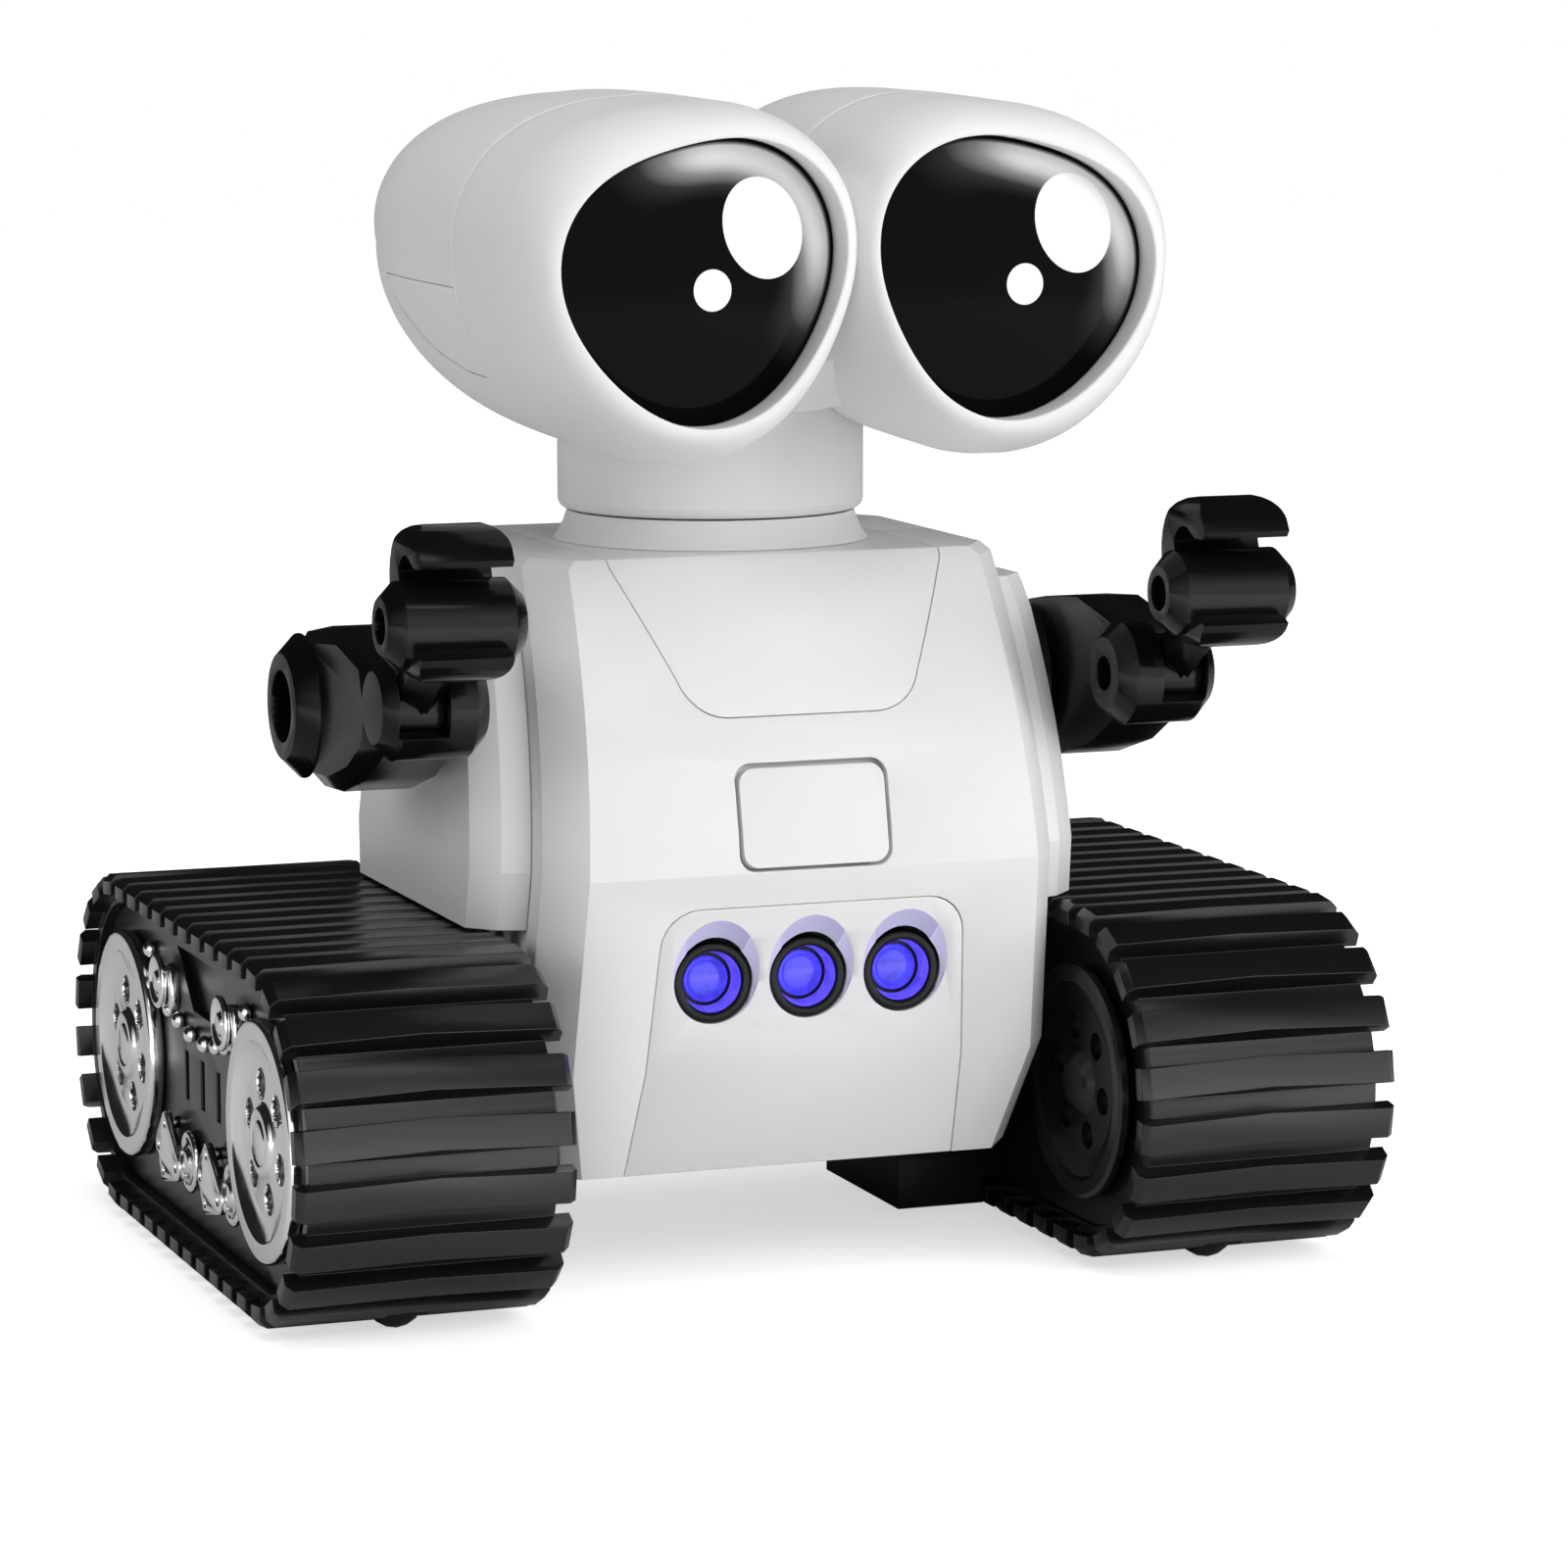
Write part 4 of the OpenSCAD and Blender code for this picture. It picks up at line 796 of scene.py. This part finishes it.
ROAD_ROLLER = ((1.4, 0.0), (1.4, 0.55), (5.2, 0.55), (5.6, 0.75), (5.6, 1.15), (5.4, 1.4),
               (4.9, 1.5), (4.1, 1.4), (3.8, 1.15), (2.6, 1.1), (2.3, 1.3), (2.1, 1.7),
               (1.7, 1.9), (0.05, 1.95))
LINK_LOBES = ((0.8, 4.2, 2.1), (4.7, -0.4, 2.5), (1.8, -4.5, 2.3), (-6.5, -2.3, 2.8))
LINK_HOLES = ((0.6, 4.2, 0.75), (5.0, -0.4, 0.95), (1.9, -4.7, 0.75), (-6.8, -2.3, 1.05))
LINK_YS = (-11.6, 17.6)
LINK_Z = 19.4
ROLLER_YS = (-21.8, 21.8)
ROLLER_Z = 48.9


def hull(points):
    """Convex outline of 2D points, anticlockwise."""
    points = sorted(set(points))

    def half(run):
        out = []
        for p in run:
            while len(out) > 1 and ((out[-1][0] - out[-2][0]) * (p[1] - out[-2][1])
                                    <= (out[-1][1] - out[-2][1]) * (p[0] - out[-2][0])):
                out.pop()
            out.append(p)
        return out[:-1]
    return half(points) + half(points[::-1])


def circle_points(y, z, r, count=24):
    return [(round(y + r * math.cos(math.tau * i / count), 4),
             round(z + r * math.sin(math.tau * i / count), 4)) for i in range(count)]


def build_side_trim(prefix, side):
    """Rivets, return rollers and road-wheel links on the pod's outer face."""
    face = side * OUTER_X
    bm = bmesh.new()
    for y, z in RIVETS:
        lathe(bm, RIVET, along_x((face, y, z), side), 40)
    for y in ROLLER_YS:
        lathe(bm, RETURN_ROLLER, along_x((face, y, ROLLER_Z), side), 56)
    for y in LINK_YS:
        lathe(bm, ROAD_ROLLER, along_x((face, y - 11.4, LINK_Z - 0.6), side), 56)
    turned = new_object(prefix + "trim_turned", bm, "trim_chrome")
    turned.data.set_sharp_from_angle(angle=math.radians(48))
    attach(turned, "torso")

    def plates(bm):
        for y in ROLLER_YS:
            block = [(y - 3.4 + a, ROLLER_Z - 0.6 + b) for a, b in (
                (-3.2, -2.6), (-2.2, -3.9), (3.2, -3.9), (3.2, 3.9), (-2.2, 3.9), (-3.2, 2.6))]
            prism(bm, block, "X", face, face + side * 1.75)
        for y in LINK_YS:
            outline = hull([p for a, b, r in LINK_LOBES
                            for p in circle_points(y + a, LINK_Z + b, r)])
            prism(bm, outline, "X", face + side * 1.25, face + side * 2.5)
            for a, b, r in LINK_LOBES:
                prism(bm, circle_points(y + a, LINK_Z + b, r * 0.55), "X", face,
                      face + side * 1.25)
    flat = temp_solid(plates)
    flat.name = prefix + "trim_plates"
    flat.data.materials.append(MATERIALS["trim_chrome"])

    def pin_holes(bm):
        for y in LINK_YS:
            for a, b, r in LINK_HOLES:
                prism(bm, circle_points(y + a, LINK_Z + b, r, 20), "X", face + side * 1.9,
                      face + side * 4)
    boolean(flat, temp_solid(pin_holes), "DIFFERENCE")
    soften(flat, 0.28, 40, 3)
    stand_in(flat, prefix + "side_trim")


# ------------------------------------------------------------------ finishing

build_head()
build_eyes()
build_edges()
build_lamps()
build_lamp_panel()
build_button()
build_collar()
for prefix, side in SIDES:
    build_track(prefix, side)
    build_hub_discs(prefix, side)
    build_side_trim(prefix, side)

for node, obj in frame["nodes"].items():
    obj.data.materials.clear()
    obj.data.materials.append(MATERIALS[SLOT_OF[node]])

# ------------------------------------------------------------------ studio


def math_node(tree, operation, a, b):
    """Output of a maths node over sockets or numbers."""
    node = tree.nodes.new("ShaderNodeMath")
    node.operation = operation
    for socket, value in zip(node.inputs, (a, b)):
        if isinstance(value, (int, float)):
            socket.default_value = value
        else:
            link(tree, value, socket)
    return node.outputs["Value"]


def map_range(tree, value, from_min, from_max, to_min, to_max):
    node = tree.nodes.new("ShaderNodeMapRange")
    link(tree, value, node.inputs["Value"])
    for socket, number in (("From Min", from_min), ("From Max", from_max),
                           ("To Min", to_min), ("To Max", to_max)):
        node.inputs[socket].default_value = number
    return node.outputs["Result"]


# name, position, target, size, power, whether glossy surfaces mirror it
SOFTBOXES = (
    ("key", (0.4, -1.05, 0.62), (0, 0, 0.1), (0.8, 0.7), 7.8, False),
    ("right", (1.0, -0.55, 0.5), (0, 0, 0.12), (0.5, 0.6), 1.2, False),
    ("top", (-0.1, -0.1, 1.1), (0, 0, 0), (0.9, 0.9), 4.2, False),
    ("side", (-1.0, 0.0, 0.4), (0, 0, 0.1), (0.5, 0.5), 2.4, False),
    ("glint_front", (-0.1, -0.8, 1.0), (0, 0, 0.1), (0.8, 0.15), 1.0, True),
    ("glint_right", (1.0, -0.5, 0.12), (0, 0, 0.1), (0.3, 0.5), 2.2, True),
)
WORLD_LIGHT = 0.22
FRONT_CARD = 1.65       # what glossy surfaces see low in front of the robot
DARK_ROOM = 0.015       # and everywhere else
FLOOR_NEAR = 0.6        # the floor's own light to the camera at the robot, lower there as painted shade
FLOOR_FAR = 0.87        # and far from it
FLOOR_GLOSS = 0.75      # share of the floor's colour that reflections show


def build_floor():
    """Pale floor with painted shade, dimmer to the camera near the robot; reflections see it dimmer, with a
    bright strip in front of the robot.
    """
    mat, tree, bsdf = shader("floor", (0.9, 0.9, 0.9), 0.9)
    path = tree.nodes.new("ShaderNodeLightPath")
    shade = ramp(tree, noise(tree, 3), ((0.3, (0.895,) * 3), (0.7, (0.905,) * 3)))
    dimmed = tree.nodes.new("ShaderNodeVectorMath")
    dimmed.operation = "SCALE"
    link(tree, shade, dimmed.inputs[0])
    link(tree, map_range(tree, path.outputs["Is Glossy Ray"], 0, 1, 1.0, FLOOR_GLOSS),
         dimmed.inputs["Scale"])
    link(tree, dimmed.outputs["Vector"], bsdf.inputs["Base Color"])
    bsdf.inputs["Emission Color"].default_value = (1, 1, 1, 1)
    coords = tree.nodes.new("ShaderNodeTexCoord")
    distance = tree.nodes.new("ShaderNodeVectorMath")
    distance.operation = "LENGTH"
    link(tree, coords.outputs["Object"], distance.inputs[0])
    # Painted shade: the floor's glow to the camera is dimmer near the robot.
    camera_glow_painted_shade = map_range(tree, distance.outputs["Value"], 0.15, 0.9, FLOOR_NEAR, FLOOR_FAR)
    camera_glow_painted_shade = math_node(tree, "MULTIPLY", camera_glow_painted_shade, path.outputs["Is Camera Ray"])
    place = tree.nodes.new("ShaderNodeSeparateXYZ")
    link(tree, coords.outputs["Object"], place.inputs["Vector"])
    ahead = map_range(tree, place.outputs["Y"], -0.08, -0.3, 0.0, FRONT_CARD)
    gloss = math_node(tree, "MULTIPLY", path.outputs["Is Glossy Ray"], ahead)
    link(tree, math_node(tree, "ADD", camera_glow_painted_shade, gloss), bsdf.inputs["Emission Strength"])
    bm = bmesh.new()
    bmesh.ops.create_grid(bm, x_segments=1, y_segments=1, size=4.0)
    floor = object_in_metres("floor", bm, None)
    floor.data.materials.append(mat)


def build_world():
    """White to the camera, dim for diffuse light, and a low card ahead for reflections."""
    world = bpy.data.worlds.new("studio")
    world.use_nodes = True
    tree = world.node_tree
    background = tree.nodes["Background"]
    background.inputs["Color"].default_value = (1, 1, 1, 1)
    coords = tree.nodes.new("ShaderNodeTexCoord")
    parts = tree.nodes.new("ShaderNodeSeparateXYZ")
    link(tree, coords.outputs["Generated"], parts.inputs["Vector"])
    ahead = map_range(tree, parts.outputs["Y"], 0.0, -0.7, 0.0, 1.0)
    low = map_range(tree, parts.outputs["Z"], 0.3, 0.8, 1.0, 0.0)
    card = math_node(tree, "MULTIPLY", math_node(tree, "MULTIPLY", ahead, low), FRONT_CARD)
    path = tree.nodes.new("ShaderNodeLightPath")
    gloss = math_node(tree, "MULTIPLY", math_node(tree, "ADD", card, DARK_ROOM),
                      path.outputs["Is Glossy Ray"])
    felt = math_node(tree, "MULTIPLY", path.outputs["Is Diffuse Ray"], WORLD_LIGHT)
    strength = math_node(tree, "ADD", gloss, felt)
    link(tree, math_node(tree, "ADD", strength, path.outputs["Is Camera Ray"]),
         background.inputs["Strength"])
    bpy.context.scene.world = world


def softbox(name, position, target, size, power, mirrored):
    lamp = bpy.data.lights.new(name, "AREA")
    lamp.shape = "RECTANGLE"
    lamp.size, lamp.size_y = size
    lamp.energy = power
    obj = bpy.data.objects.new(name, lamp)
    bpy.context.scene.collection.objects.link(obj)
    obj.location = position
    aim = Vector(target) - Vector(position)
    obj.rotation_euler = aim.to_track_quat("-Z", "Y").to_euler()
    obj.visible_glossy = mirrored


build_floor()
build_world()
for args in SOFTBOXES:
    softbox(*args)

VIEW_AZIMUTH = math.radians(-20.572)
VIEW_ELEVATION = math.radians(8.264)
camera_data = bpy.data.cameras.new("camera")
camera_data.lens = 128.3
camera_data.sensor_width = 36
camera = bpy.data.objects.new("camera", camera_data)
bpy.context.scene.collection.objects.link(camera)
camera.location = (-0.33975, -0.9430, 0.2282)
back = Vector((math.sin(VIEW_AZIMUTH) * math.cos(VIEW_ELEVATION),
               -math.cos(VIEW_AZIMUTH) * math.cos(VIEW_ELEVATION), math.sin(VIEW_ELEVATION)))
camera.rotation_euler = (-back).to_track_quat("-Z", "Y").to_euler()
bpy.context.scene.camera = camera
bpy.context.scene.view_settings.view_transform = "Standard"
